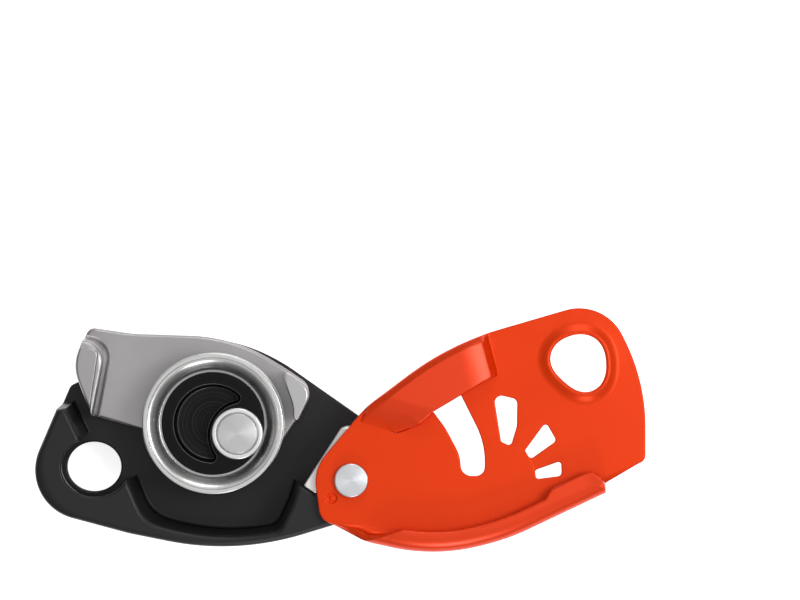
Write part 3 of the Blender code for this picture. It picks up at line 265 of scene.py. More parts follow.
@dataclass(frozen=True)
class Crescent:
    """The hub's pocket: a disc about the wheel less a disc about the axle, with round tips.

    Attributes:
        outer: The radius of its outer side.
        waist: The radius of its inner side.
        shift: How far the inner side's middle lies behind the axle.
        tip: The radius of its tips.
    """

    outer: float = 10.27
    waist: float = 8.55
    shift: float = 1.6
    tip: float = 1.5

    def points(self, grow: float = 0.0) -> list[Point]:
        """The crescent's points, moved out by grow.

        Args:
            grow: How far the crescent is moved out.

        Returns:
            As many points for any grow.
        """
        centre = Vector(drawing.wheel)
        way = centre.normalized()
        middle = way * -self.shift
        apart = centre.length + self.shift
        reach_w, reach_a = self.outer - self.tip, self.waist + self.tip
        along = (reach_a**2 - reach_w**2 + apart**2) / (2.0 * apart)
        side = Vector((way.y, -way.x)) * math.sqrt(reach_a**2 - along**2)
        spots = (middle + way * along + side, middle + way * along - side)
        upper, lower = sorted(spots, key=lambda spot: -spot.y)
        start, end = bearing(upper, centre), bearing(lower, centre)
        back, front = bearing(lower, middle), bearing(upper, middle)
        low_turn, high_turn = (back + 180.0 - end) % 360.0, (start - front - 180.0) % 360.0
        arcs = (
            (centre, self.outer + grow, start, end - start, 90, 0),
            (lower, self.tip + grow, end, low_turn, 16, 1),
            (middle, self.waist - grow, back, front - back, 60, 0),
            (upper, self.tip + grow, front + 180.0, high_turn, 16, 1),
        )
        return [
            polar(tuple(origin), radius, first + turn * k / steps)
            for origin, radius, first, turn, steps, skipped in arcs
            for k in range(skipped, steps + 1 - skipped)
        ]


Shape = Union[Outline, Round, Crescent]


def arc_corners(centre: Point, radius: float, start: float, end: float, steps: int) -> list[Corner]:
    """Corners without fillets along an arc, in degrees."""
    return [(*polar(centre, radius, start + (end - start) * k / steps), 0.0) for k in range(steps + 1)]


def quarter(steps: int) -> list[float]:
    """The angles of a quarter turn, from nothing to upright, in radians."""
    return [math.pi / 2.0 * k / steps for k in range(steps + 1)]


def round_top(high: float, radius: float, steps: int = 5) -> list[Level]:
    """The (height, grow) levels of a rounded top edge, with so many chords."""
    return [(high - radius * (1.0 - math.sin(a)), -radius * (1.0 - math.cos(a))) for a in quarter(steps)]


def round_edges(low: float, high: float, below: float, above: float, steps: int = 5) -> list[Level]:
    """The levels of a block whose bottom and top edges are rounded.

    Args:
        low, high: Its heights.
        below, above: The radii of its bottom and its top edge.
        steps: How many chords an edge has.

    Returns:
        (height, grow) levels, bottom to top.
    """
    bottom = [(-height, grow) for height, grow in reversed(round_top(-low, below, steps))]
    return bottom + round_top(high, above, steps)


def flare(high: float, grow: float, radius: float, steps: int = 5) -> list[Level]:
    """The last levels of a cutter that leaves a rounded edge round the hole's mouth.

    Args:
        high: The height of the mouth.
        grow: How far the hole is moved out below the edge.
        radius: The edge's radius.
        steps: How many chords the edge has.

    Returns:
        (height, grow) levels, bottom to top.
    """
    turns = [math.radians(84.0) * k / steps for k in range(1, steps + 1)]
    mouth = [(high - radius + radius * math.sin(a), grow + radius * (1.0 - math.cos(a))) for a in turns]
    return [(high - radius, grow), *mouth, (high + 0.6, grow + radius * 2.2)]


def headed_pin(heights: Sequence[float], radii: Sequence[float], rounds: Level) -> Outline:
    """The section of a pin with a formed foot and a head.

    Args:
        heights: Where its foot starts and ends, and where its head starts and ends.
        radii: The radii of its foot, its shank and its head.
        rounds: The fillets of its foot's and its head's outer edges.

    Returns:
        The section as (radius, height) corners.
    """
    low, back, seat, top = heights
    foot, shank, head = radii
    steps = [(foot, back), (shank, back), (shank, seat), (head, seat)]
    inner = [(radius, height, 0.05) for radius, height in steps]
    return Outline([(0.0, low, 0.0), (foot, low, rounds[0]), *inner, (head, top, rounds[1]), (0.0, top, 0.0)])


def add_object(name: str, data: bpy.types.ID) -> bpy.types.Object:
    """Makes an object from its data and links it to the scene.

    Args:
        name: The object's name.
        data: Its mesh, lamp or camera.

    Returns:
        The new object.
    """
    made = bpy.data.objects.new(name, data)
    bpy.context.scene.collection.objects.link(made)
    return made


class Bench:
    """Makes closed meshes in plan millimetres."""

    @staticmethod
    def mesh(
        name: str, vertices: Iterable[Sequence[float]], faces: Iterable[Sequence[int]]
    ) -> bpy.types.Object:
        """Makes a closed mesh whose faces are turned out.

        Args:
            name: The piece's name.
            vertices: Points in plan millimetres.
            faces: The points of each face.

        Returns:
            The new object.
        """
        data = bpy.data.meshes.new(name)
        data.from_pydata([tuple(v) for v in vertices], [], [tuple(f) for f in faces])
        work = bmesh.new()
        work.from_mesh(data)
        bmesh.ops.remove_doubles(work, verts=work.verts, dist=1e-4)
        bmesh.ops.recalc_face_normals(work, faces=work.faces)
        if work.calc_volume(signed=True) < 0.0:
            bmesh.ops.reverse_faces(work, faces=work.faces)
        work.to_mesh(data)
        work.free()
        return add_object(name, data)

    @classmethod
    def loft(cls, name: str, shape: Shape, levels: Sequence[Level]) -> bpy.types.Object:
        """Stacks a shape at (height, grow) levels and closes both ends.

        Args:
            name: The piece's name.
            shape: Its outline in plan.
            levels: The heights, and how far the outline is moved out at each.

        Returns:
            The new object.
        """
        rings = [[(x, y, z) for x, y in shape.points(grow)] for z, grow in levels]
        count = len(rings[0])
        vertices = [point for ring in rings for point in ring]
        faces = [tuple(range(count)), tuple(range(len(vertices) - count, len(vertices)))]
        for level in range(len(rings) - 1):
            low = level * count
            for k in range(count):
                after = (k + 1) % count
                faces.append((low + k, low + after, low + count + after, low + count + k))
        return cls.mesh(name, vertices, faces)

    @classmethod
    def turned(cls, name: str, profile: Shape, centre: Point, count: int = 160) -> bpy.types.Object:
        """Turns a closed (radius, height) profile about the vertical through a centre.

        Args:
            name: The piece's name.
            profile: Its section.
            centre: Its axis in plan.
            count: How many points it has round its axis.

        Returns:
            The new object.
        """
        vertices: list[tuple[float, float, float]] = []
        rows: list[list[int]] = []
        for radius, height in profile.points():
            if radius < 1e-5:
                rows.append([len(vertices)] * count)
                vertices.append((centre[0], centre[1], height))
                continue
            rows.append(list(range(len(vertices), len(vertices) + count)))
            vertices += [(*polar(centre, radius, 360.0 * k / count), height) for k in range(count)]
        faces = []
        for low, high in zip(rows, rows[1:] + rows[:1]):
            for k in range(count):
                after = (k + 1) % count
                face = list(dict.fromkeys((low[k], low[after], high[after], high[k])))
                if len(face) > 2:
                    faces.append(tuple(face))
        return cls.mesh(name, vertices, faces)

    @staticmethod
    def combine(piece: bpy.types.Object, other: bpy.types.Object, operation: str) -> bpy.types.Object:
        """Applies one exact Boolean and drops the second object.

        Args:
            piece: The piece that is kept.
            other: The solid that it is combined with.
            operation: DIFFERENCE, UNION or INTERSECT.

        Returns:
            The piece.
        """
        modifier = piece.modifiers.new(operation.lower(), "BOOLEAN")
        modifier.operation = operation
        modifier.solver = "EXACT"
        modifier.object = other
        bpy.context.view_layer.update()
        graph = bpy.context.evaluated_depsgraph_get()
        result = bpy.data.meshes.new_from_object(piece.evaluated_get(graph))
        piece.modifiers.clear()
        spent = piece.data
        piece.data = result
        bpy.data.meshes.remove(spent)
        bpy.data.objects.remove(other)
        return piece

    @classmethod
    def cut(cls, piece: bpy.types.Object, *cutters: bpy.types.Object) -> bpy.types.Object:
        """Takes each cutter out of the piece.

        Args:
            piece: The piece.
            cutters: The solids that are cut out of it.

        Returns:
            The piece.
        """
        for cutter in cutters:
            cls.combine(piece, cutter, "DIFFERENCE")
        return piece

    @classmethod
    def join(cls, piece: bpy.types.Object, *others: bpy.types.Object) -> bpy.types.Object:
        """Adds each solid to the piece.

        Args:
            piece: The piece.
            others: The solids that are added to it.

        Returns:
            The piece.
        """
        for other in others:
            cls.combine(piece, other, "UNION")
        return piece

    @classmethod
    def bore(
        cls, centre: Point, radius: float, low: float, high: float, edge: float = 0.0
    ) -> bpy.types.Object:
        """A cutter for a round hole, whose mouth is rounded where an edge is given."""
        top = flare(high, 0.0, edge) if edge else [(high, 0.0)]
        return cls.loft("bore", Round(centre, radius, count=72), [(low, 0.0), *top])

    @classmethod
    def drill(cls, piece: bpy.types.Object, centre: Point, radius: float, low: float, high: float) -> None:
        """Drills a round hole from just below one height to just above another."""
        cls.cut(piece, cls.bore(centre, radius, low - OVER, high + OVER))

    @staticmethod
    def finish(
        piece: bpy.types.Object, body: str, finish: "Finish", node: str, sharp: float = 32.0
    ) -> bpy.types.Object:
        """Moves a piece to the row's frame, smooths and dresses it, and hangs it on its body.

        Args:
            piece: The piece, in plan millimetres.
            body: The body it moves with.
            finish: Its material and the record's slot it belongs to.
            node: The frame's node that it stands for.
            sharp: The angle, in degrees, past which an edge stays sharp.

        Returns:
            The same piece.
        """
        piece.data.transform(drawing.placing())
        piece.data.shade_smooth()
        piece.data.set_sharp_from_angle(angle=math.radians(sharp))
        weighted = piece.modifiers.new("weighted_normals", "WEIGHTED_NORMAL")
        weighted.keep_sharp = True
        weighted.weight = 60
        piece.data.materials.clear()
        piece.data.materials.append(finish.material())
        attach(piece, body)
        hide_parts(node)
        log.info("%s: %d faces on %s", piece.name, len(piece.data.polygons), body)
        return piece


class Wire:
    """One output socket, with arithmetic that adds Math nodes."""

    def __init__(self, graph: "Graph", socket: bpy.types.NodeSocket) -> None:
        self.graph = graph
        self.socket = socket

    def math(self, operation: str, *values: "Value") -> "Wire":
        """Adds a Math node on this value and others."""
        return self.graph.node("ShaderNodeMath", {"operation": operation}, dict(enumerate((self, *values))))

    def __add__(self, other: "Value") -> "Wire":
        """This value plus another."""
        return self.math("ADD", other)

    def __sub__(self, other: "Value") -> "Wire":
        """This value less another."""
        return self.math("SUBTRACT", other)

    def __rsub__(self, other: "Value") -> "Wire":
        """Another value less this one."""
        return self.graph.node("ShaderNodeMath", {"operation": "SUBTRACT"}, {0: other, 1: self})

    def __mul__(self, other: "Value") -> "Wire":
        """This value times another."""
        return self.math("MULTIPLY", other)

    def __truediv__(self, other: "Value") -> "Wire":
        """This value over another."""
        return self.math("DIVIDE", other)

    __radd__ = __add__
    __rmul__ = __mul__

    def clamp(self) -> "Wire":
        """This value kept between 0 and 1."""
        return self.graph.node("ShaderNodeClamp", {}, {"Value": self})

    def above(self, low: Union[float, "Wire"], steep: float = 20.0) -> "Wire":
        """1 where this value is over another, with a soft step of one over steep."""
        return ((self - low) * steep).clamp()

    def below(self, high: float, steep: float = 20.0) -> "Wire":
        """1 where this value is under a number, with a soft step of one over steep."""
        return ((high - self) * steep).clamp()


Value = Union[Wire, float, int, Sequence[float]]


class Graph:
    """The nodes of a material or a world, from its shader outwards."""

    def __init__(
        self, owner: Union[bpy.types.Material, bpy.types.World], shader: str = "Principled BSDF"
    ) -> None:
        owner.use_nodes = True
        self.owner = owner
        self.tree = owner.node_tree
        self.shader = self.tree.nodes[shader]

    def node(
        self,
        kind: str,
        settings: dict[str, object],
        inputs: dict[Union[str, int], Value],
        output: Union[str, int] = 0,
    ) -> Wire:
        """Adds a node.

        Args:
            kind: The node's type.
            settings: Its own settings, set first. "ramp" holds a ramp's (place, colour) stops.
            inputs: Values or wires for its sockets, by name or number.
            output: The output socket to hand back.

        Returns:
            That output.
        """
        made = self.tree.nodes.new(kind)
        for key, value in settings.items():
            if key == "ramp":
                stops = made.color_ramp.elements
                while len(stops) < len(value):
                    stops.new(0.5)
                for stop, (place, shade) in zip(stops, value):
                    stop.position = place
                    stop.color = (*shade, 1.0)
            else:
                setattr(made, key, value)
        for key, value in inputs.items():
            self.feed(made.inputs[key], value)
        return Wire(self, made.outputs[output])

    def feed(self, socket: bpy.types.NodeSocket, value: Value) -> None:
        """Links a wire to a socket, or sets the socket's own value.

        Args:
            socket: The input socket.
            value: A wire, a number or a colour.
        """
        if isinstance(value, Wire):
            self.tree.links.new(value.socket, socket)
        elif isinstance(value, (int, float)):
            socket.default_value = value
        else:
            full = tuple(value)
            socket.default_value = (*full, 1.0) if socket.type == "RGBA" and len(full) == 3 else full

    def set(self, **values: Value) -> None:
        """Feeds the shader's sockets, named with underscores for spaces.

        Args:
            values: A value or a wire for each socket.
        """
        names = {socket.name.lower().replace(" ", "_"): socket for socket in self.shader.inputs}
        for key, value in values.items():
            self.feed(names[key], value)

    def place(self) -> Wire:
        """The point on the piece, in the piece's own metres."""
        return self.node("ShaderNodeTexCoord", {}, {}, "Object")

    def axis(self, vector: Wire, name: str) -> Wire:
        """One axis of a vector."""
        return self.node("ShaderNodeSeparateXYZ", {}, {"Vector": vector}, name)

    def vector(self, operation: str, *values: Value, output: str = "Vector") -> Wire:
        """Adds a Vector Math node."""
        return self.node("ShaderNodeVectorMath", {"operation": operation}, dict(enumerate(values)), output)

    def noise(
        self, size: float, detail: float = 2.0, stretch: Colour = (1.0, 1.0, 1.0), seed: float = 0.0
    ) -> Wire:
        """Noise whose features are about size millimetres, as values near 0.5.

        Args:
            size: The size of a feature.
            detail: How many finer layers it has.
            stretch: How much denser it is along each axis.
            seed: Moves the pattern.

        Returns:
            The noise's value.
        """
        moved = {"Vector": self.place(), "Location": (seed, seed, seed), "Scale": stretch}
        shifted = self.node("ShaderNodeMapping", {}, moved)
        grain = {"Vector": shifted, "Scale": 1.0 / (size * MM), "Detail": detail}
        return self.node("ShaderNodeTexNoise", {}, grain)

    def mix(self, share: Value, first: Value, second: Value) -> Wire:
        """Mixes two colours."""
        kind = {"data_type": "RGBA", "clamp_factor": True}
        return self.node("ShaderNodeMix", kind, {0: share, 6: first, 7: second}, 2)

    def height(self) -> Wire:
        """The height of the point on the piece, in millimetres."""
        return self.axis(self.place(), "Z") / MM

    def radius(self, centre: Point) -> Wire:
        """How far the point is from a vertical line through a centre in plan, in metres.

        Args:
            centre: The line's place in plan, in millimetres.

        Returns:
            The distance.
        """
        middle = (drawing.axle.x + centre[0] * MM, drawing.axle.y + centre[1] * MM, 0.0)
        away = self.vector("SUBTRACT", self.place(), middle)
        return self.vector("LENGTH", self.vector("MULTIPLY", away, (1.0, 1.0, 0.0)), output="Value")

    def rings(self, centre: Point, pitch: float) -> Wire:
        """Turning marks: a wave from -1 to 1 along the radius from a centre, with an uneven pitch.

        Args:
            centre: The axis in plan.
            pitch: The mean distance between two marks, in millimetres.

        Returns:
            The wave.
        """
        radius = self.radius(centre)
        uneven = {"W": radius / (pitch * MM * 3.0), "Detail": 3.0}
        drift = self.node("ShaderNodeTexNoise", {"noise_dimensions": "1D"}, uneven)
        return (radius * (2.0 * math.pi / (pitch * MM)) + drift * 9.0).math("SINE")

    def bump(self, height: Value, depth: float) -> None:
        """Feeds the shader's normal with a height map whose full range is depth millimetres."""
        made = self.node("ShaderNodeBump", {}, {"Strength": 1.0, "Distance": depth * MM, "Height": height})
        self.feed(self.shader.inputs["Normal"], made)


@dataclass(frozen=True)
class Finish:
    """What every finish has.

    Attributes:
        name: The material's name.
        slot: The record's material slot.
        colour: The base colour in linear light.
        roughness: The roughness away from marks.
        metallic: How metallic it is.
    """

    name: str
    slot: str
    colour: Colour
    roughness: float = 0.35
    metallic: float = 1.0

    def dress(self, graph: Graph) -> None:
        """Adds the finish's own detail."""

    def shade(self, factor: float) -> Colour:
        """The base colour, lighter or darker."""
        return tuple(min(1.0, channel * factor) for channel in self.colour)

    def tones(self, graph: Graph, share: Wire, spread: float) -> Wire:
        """The base colour, drifting as far darker as lighter."""
        return graph.mix(share, self.shade(1.0 - spread), self.shade(1.0 + spread))

    def material(self) -> bpy.types.Material:
        """Makes the material, or hands back the one made before.

        Returns:
            The material.
        """
        known = bpy.data.materials.get(self.name)
        if known is not None:
            return known
        graph = Graph(bpy.data.materials.new(self.name))
        graph.set(base_color=self.colour, roughness=self.roughness, metallic=self.metallic)
        self.dress(graph)
        return graph.owner


@dataclass(frozen=True)
class Anodised(Finish):
    """Blasted and anodised aluminium: an even satin with a very fine grain and slight clouding.

    Attributes:
        grain: The size of the blasted grain.
        depth: How deep the grain is.
        cloud: How much the colour drifts.
        specular: The plain reflection at the surface.
        handled: The height, in millimetres, above which hands have polished it.
    """

    grain: float = 0.09
    depth: float = 0.004
    cloud: float = 0.08
    specular: float = 0.5
    handled: Optional[float] = None

    def dress(self, graph: Graph) -> None:
        """Adds clouding to the colour and a grain to the normal and the roughness.

        Args:
            graph: The material's nodes.
        """
        cloud = graph.noise(9.0, 3.0)
        fine = graph.noise(self.grain, 2.0, seed=0.3)
        share = (cloud * 0.7 + fine * 0.3).clamp()
        graph.set(
            base_color=self.tones(graph, share, self.cloud),
            roughness=(self.roughness + (fine - 0.5) * 0.12 + (cloud - 0.5) * 0.06).clamp(),
            specular_ior_level=self.specular,
        )
        if self.handled is not None:
            graph.set(coat_weight=graph.height().above(self.handled, 0.8) * 0.25, coat_roughness=0.26)
        graph.bump(fine, self.depth)


@dataclass(frozen=True)
class Turned(Finish):
    """Steel or aluminium turned on a lathe: fine rings about the piece's axis.

    Attributes:
        centre: The axis in plan.
        pitch: The distance between rings.
        depth: How deep the rings are.
        contrast: How much the rings show in the colour.
        brushed: How much the rings spread a highlight outwards.
        specular: The plain reflection at the surface.
        floor: The height of a pocket's floor, whose rounded edges and turning rings get a painted highlight.
        top: The height of that pocket's mouth.
        sheen_colour: The colour of that painted highlight.
    """

    centre: Point = AXLE
    pitch: float = 0.18
    depth: float = 0.002
    contrast: float = 0.05
    brushed: float = 0.0
    specular: float = 0.5
    floor: Optional[float] = None
    top: float = 0.0
    sheen_colour: Colour = (0.24, 0.24, 0.25)

    def edge_round_and_sheen(self, graph: Graph) -> Wire:
        """Where a highlight is painted on the pocket's rounded mouth and foot, with faint painted sheen along
        its floor's turning rings.

        Args:
            graph: The material's nodes.

        Returns:
            The share of painted highlight.
        """
        height = graph.height()
        foot = height.above(self.floor + 0.03) * height.below(self.floor + 0.32)
        mouth = height.above(self.top - 0.24) * height.below(self.top - 0.03)
        within = (graph.radius(self.centre) / MM).below(12.4, 4.0)
        lines = graph.rings(self.centre, 0.85).math("MAXIMUM", 0.0) * height.below(self.floor + 0.05)
        return (foot + mouth) * within + lines * 0.045

    def dress(self, graph: Graph) -> None:
        """Adds rings to the colour, the roughness and the normal, and paints a highlight on a pocket's
        rounded edges.

        Args:
            graph: The material's nodes.
        """
        rings = graph.rings(self.centre, self.pitch) * 0.5 + 0.5
        smudge = graph.noise(3.0, 3.0)
        share = (rings * 0.6 + smudge * 0.4).clamp()
        shade = self.tones(graph, share, self.contrast)
        # Paints a highlight on the pocket's rounded edges and faint painted sheen on its floor's rings.
        if self.floor is not None:
            shade = graph.mix(self.edge_round_and_sheen(graph), shade, self.sheen_colour)
        graph.set(
            base_color=shade,
            roughness=(self.roughness + (rings - 0.5) * 0.05 + (smudge - 0.5) * 0.08).clamp(),
            anisotropic=self.brushed,
            anisotropic_rotation=0.25,
            specular_ior_level=self.specular,
        )
        graph.bump(rings, self.depth)


@dataclass(frozen=True)
class Cast(Finish):
    """Investment-cast and tumbled steel: soft pits, a faint drift of tone and fine scratches.

    Attributes:
        pit: The size of a pit.
        depth: How deep the pits are.
        warm: The tone that it drifts to.
        painted_top_light: The height above which the colour is painted lighter, a painted highlight on the
            cam's highest face, which is also made a little smoother.
    """

    pit: float = 0.35
    depth: float = 0.010
    warm: Colour = (0.4, 0.37, 0.36)
    painted_top_light: float = drawing.high("cam_plate") - 0.2

    def dress(self, graph: Graph) -> None:
        """Adds drift and a painted highlight on the highest face to the colour, scratches to the roughness,
        and pits to the normal.

        Args:
            graph: The material's nodes.
        """
        # Above this height the colour is painted lighter: a painted highlight on the cam's highest face.
        painted_top_light = graph.height().above(self.painted_top_light)
        drift = graph.noise(14.0, 2.0)
        pits = graph.noise(self.pit, 3.0, seed=0.7)
        scratch = graph.noise(0.25, 2.0, stretch=(1.0, 14.0, 1.0), seed=0.2)
        cast = graph.mix((drift * 1.6 - 0.3 + (pits - 0.5) * 0.5).clamp(), self.colour, self.warm)
        graph.set(
            base_color=graph.mix(painted_top_light, cast, self.shade(1.15)),
            roughness=(self.roughness + (pits - 0.5) * 0.14 + (scratch - 0.5) * 0.10 - painted_top_light * 0.08).clamp(),
        )
        graph.bump(pits * 0.7 + scratch * 0.3, self.depth)


@dataclass(frozen=True)
class Drawn(Finish):
    """Plain steel or bronze with fine straight marks along one way.

    Attributes:
        along: How dense the marks are along each axis.
        depth: How deep the marks are.
    """

    along: Colour = (1.0, 12.0, 12.0)
    depth: float = 0.003

    def dress(self, graph: Graph) -> None:
        """Adds the marks to the colour, the roughness and the normal.

        Args:
            graph: The material's nodes.
        """
        marks = graph.noise(0.6, 3.0, stretch=self.along)
        graph.set(
            base_color=graph.mix(marks, self.shade(0.9), self.shade(1.08)),
            roughness=(self.roughness + (marks - 0.5) * 0.18).clamp(),
        )
        graph.bump(marks, self.depth)


@dataclass(frozen=True)
class Moulded(Finish):
    """Moulded plastic with the fine spark-eroded texture of its tool.

    Attributes:
        grain: The size of the texture.
        depth: How deep it is.
    """

    metallic: float = 0.0
    grain: float = 0.22
    depth: float = 0.012

    def dress(self, graph: Graph) -> None:
        """Adds the texture to the normal and a little of it to colour and roughness.

        Args:
            graph: The material's nodes.
        """
        grain = graph.noise(self.grain, 2.0)
        graph.set(
            base_color=self.tones(graph, grain, 0.15),
            roughness=(self.roughness + (grain - 0.5) * 0.15).clamp(),
        )
        graph.bump(grain, self.depth)


HUB_TOP = drawing.high("wheel_hub")
PLATE_TOP = drawing.low("moving_side_plate") + SHEET
FRAME_BLACK = Anodised(
    "frame_black_anodised", "side_frame", srgb(32, 32, 34), 0.40, 0.3,
    grain=0.10, depth=0.006, cloud=0.06, specular=0.35,
)
PLATE_ORANGE = Anodised(
    "plate_orange_anodised", "moving_side_plate", srgb(222, 57, 2), 0.36, 0.35,
    grain=0.08, depth=0.003, cloud=0.03, specular=0.2, handled=PLATE_TOP + 0.8,
)
HUB_BLACK = Turned(
    "hub_black_turned", "wheel_hub", srgb(15, 15, 17), 0.42, 0.5, centre=drawing.wheel,
    pitch=0.55, depth=0.004, contrast=0.25, specular=0.2, floor=HUB_TOP - POCKET_DEEP, top=HUB_TOP,
)
WHEEL_STEEL = Turned(
    "wheel_polished_steel", "wheel_sheave", srgb(204, 204, 203), 0.3, centre=drawing.wheel,
    pitch=0.2, depth=0.0004, contrast=0.03,
)
AXLE_STEEL = Turned(
    "axle_turned_steel", "cam_axle", srgb(194, 194, 195), 0.38, pitch=0.12, depth=0.0012, brushed=0.45
)
COLLAR_STEEL = Turned(
    "collar_turned_steel", "axle_collar", srgb(222, 222, 222), 0.32, pitch=0.15, depth=0.0010, brushed=0.2
)
RIVET_STEEL = Turned(
    "rivet_turned_steel", "plate_rivet", srgb(206, 208, 211), 0.38, centre=drawing.pivot,
    pitch=0.14, depth=0.0012, brushed=0.45,
)
CAM_STEEL = Cast(
    "cam_cast_steel", "cam_plate", srgb(170, 169, 170), 0.40, pit=0.30, depth=0.006, warm=srgb(163, 158, 160)
)
SHOE_STEEL = Drawn(
    "shoe_bright_steel", "friction_shoe", srgb(226, 224, 221), 0.42, along=(3.0, 3.0, 30.0), depth=0.0015
)
LINK_STEEL = Drawn(
    "link_stamped_steel", "handle_link", srgb(150, 150, 150), 0.38, along=(1.0, 14.0, 14.0), depth=0.004
)
PLAIN_STEEL = Drawn("plain_steel", "steel", srgb(180, 180, 182), 0.30, along=(6.0, 6.0, 1.0), depth=0.002)
SPRING_STEEL = Drawn("spring_wire", "spring", srgb(140, 140, 144), 0.32, along=(8.0, 8.0, 8.0), depth=0.002)
BRONZE = Drawn("bearing_bronze", "bronze", srgb(176, 140, 88), along=(5.0, 5.0, 1.0), roughness=0.36)
NYLON = Moulded("black_glass_filled_nylon", "nylon", srgb(34, 34, 36), 0.55)
ACETAL = Moulded("white_acetal", "white_polymer", srgb(214, 212, 205), 0.45, grain=0.3, depth=0.004)


@dataclass
class FrameSide:
    """The forged frame with its friction shoe.

    Attributes:
        floor: How thick its floor is.
        edge: The radius of the wall's edges.
        draft: How much the wall leans in towards its foot.
        eye: The middle of the carabiner's eye.
        eye_half: Half the eye's width and height.
        ring: How far the wall stands off the eye.
        undercut: How much wider the room round the eye is at the floor.
        shoe_face: Where the shoe's long face starts.
        shoe_way: The direction of that face.
        shoe_long, shoe_thick: How long its face is, and how thick the shoe is.
        shoe_pins, pin_radius: How far along the shoe its two pins stand, and their holes' radius.
        clear: How far the wall stays off the shoe's low end.
        floor_round: The radius of the floor's outer edge.
        axle_bore, pivot_bore: The radii of the holes for the axle and the plate's rivet.
        spring_room: The radius and the depth of the room round the cam's spring.
    """

    floor: float = 3.2
    edge: float = 1.1
    draft: float = 1.9
    eye: Point = (-38.35, -9.2)
    eye_half: Point = (7.1, 6.5)
    ring: float = 1.25
    undercut: float = 1.15
    shoe_face: Point = (17.2, -13.6)
    shoe_way: Point = (0.545, 0.838)
    shoe_long: float = 18.9
    shoe_thick: float = 3.8
    shoe_pins: tuple[float, float] = (3.6, 12.4)
    pin_radius: float = 1.2
    clear: float = 3.5
    floor_round: float = 0.5
    axle_bore: float = 3.1
    pivot_bore: float = 2.5
    spring_room: tuple[float, float] = (8.3, 2.2)

    def rim(self) -> Outline:
        """The frame's silhouette."""
        eye, pivot = self.eye, drawing.pivot
        return Outline(
            [
                (pivot[0] + 11.0, pivot[1] - 7.1, 9.5),
                (pivot[0] + 11.0, pivot[1] + 8.2, 8.0),
                (32.2, 3.7, 2.5),
                (12.6, 17.45, 30.0),
                (0.8, 24.2, 46.0),
                (-17.5, 25.2, 14.0),
                (-44.6, 12.2, 2.5),
                (eye[0] - 19.2, eye[1] - 8.95, 13.0),
                (eye[0] + 10.2, eye[1] - 16.85, 30.0),
                (-0.3, -31.6, 72.0),
            ]
        )

    def shoe_line(self, along: float, behind: float) -> Point:
        """A point of the shoe: how far along its long face, and how far behind it.

        Args:
            along: How far along the long face, from its low end.
            behind: How far behind that face.

        Returns:
            The point in plan.
        """
        start, way = Vector(self.shoe_face), Vector(self.shoe_way).normalized()
        point = start + way * along + Vector((way.y, -way.x)) * behind
        return (point.x, point.y)

    def shoe_shape(self) -> Outline:
        """The shoe's outline: the long face, and the leg that hooks over the boss."""
        tip = Vector(self.shoe_line(self.shoe_long, 0.0))
        leg = Vector((0.93, -0.37)).normalized()
        low = Vector((leg.y, -leg.x)) * self.shoe_thick
        end = tip + leg * 7.6
        return Outline(
            [
                (*self.shoe_line(0.0, 0.0), 0.5),
                (*self.shoe_line(0.0, self.shoe_thick), 0.5),
                (*(tip + leg * (self.shoe_thick * 1.12) + low), 0.6),
                (*(end + low), 0.5),
                (*end, 0.8),
                (*tip, 2.6),
            ]
        )

    def channel(self) -> Outline:
        """The hollow that the forging has above its floor."""
        depth = drawing.wheel[1] - 30.0
        pivot, eye = drawing.pivot, self.eye
        return Outline(
            [
                (-45.0, 5.7, 1.0),
                (-41.8, -1.0, 0.8),
                (eye[0] - 2.9, eye[1] + 4.2, 0.0),
                (eye[0] + 7.3, eye[1] - 1.3, 0.0),
                (-28.8, -13.2, 1.0),
                (-26.6, -18.5, 8.0),
                (-23.9, depth + 3.7, 8.0),
                (-4.8, depth - 1.5, 60.0),
                (11.4, depth + 1.4, 2.8),
                (14.9, -18.6, 5.0),
                (*self.shoe_line(-0.9, -0.4), 0.8),
                (*self.shoe_line(-0.4, self.shoe_thick + 0.6), 0.4),
                (*self.shoe_line(14.0, self.shoe_thick + 0.35), 1.2),
                (pivot[0] + 6.6, pivot[1] + 8.3, 1.5),
                (46.0, 2.0, 0.0),
                (46.0, 42.0, 0.0),
                (-62.0, 42.0, 0.0),
                (-62.0, 3.0, 0.0),
            ]
        )

    def shoe_relief(self) -> Outline:
        """The clear space before the shoe's low end."""
        far, near = self.clear, 0.2
        spots = ((-0.6, -far), (-0.6, near), (far, near), (far, -far))
        return Outline([(*self.shoe_line(*spot), 0.0) for spot in spots])

    def floor_edge(self, floor: float) -> bpy.types.Object:
        """A cutter that rounds the floor's edge wherever no wall stands on it.

        Args:
            floor: The height of the floor's face.

        Returns:
            The cutter.
        """
        low = floor - self.floor_round
        cutter = Bench.loft("floor_edge", self.channel(), [(low, 0.0), (floor + 0.3, 0.0)])
        edge = round_top(floor, self.floor_round, 6)
        levels = [(low - OVER, 0.0), *edge, (floor + 0.6, -self.floor_round - 0.9)]
        return Bench.cut(cutter, Bench.loft("kept", self.rim(), levels))

    def drill_pins(self, piece: bpy.types.Object, low: float, high: float) -> None:
        """Drills the holes for the shoe's two pins.

        Args:
            piece: The frame or the shoe.
            low, high: The heights that the holes run between.
        """
        for along in self.shoe_pins:
            place = self.shoe_line(along, self.shoe_thick / 2.0)
            Bench.drill(piece, place, self.pin_radius, low, high)

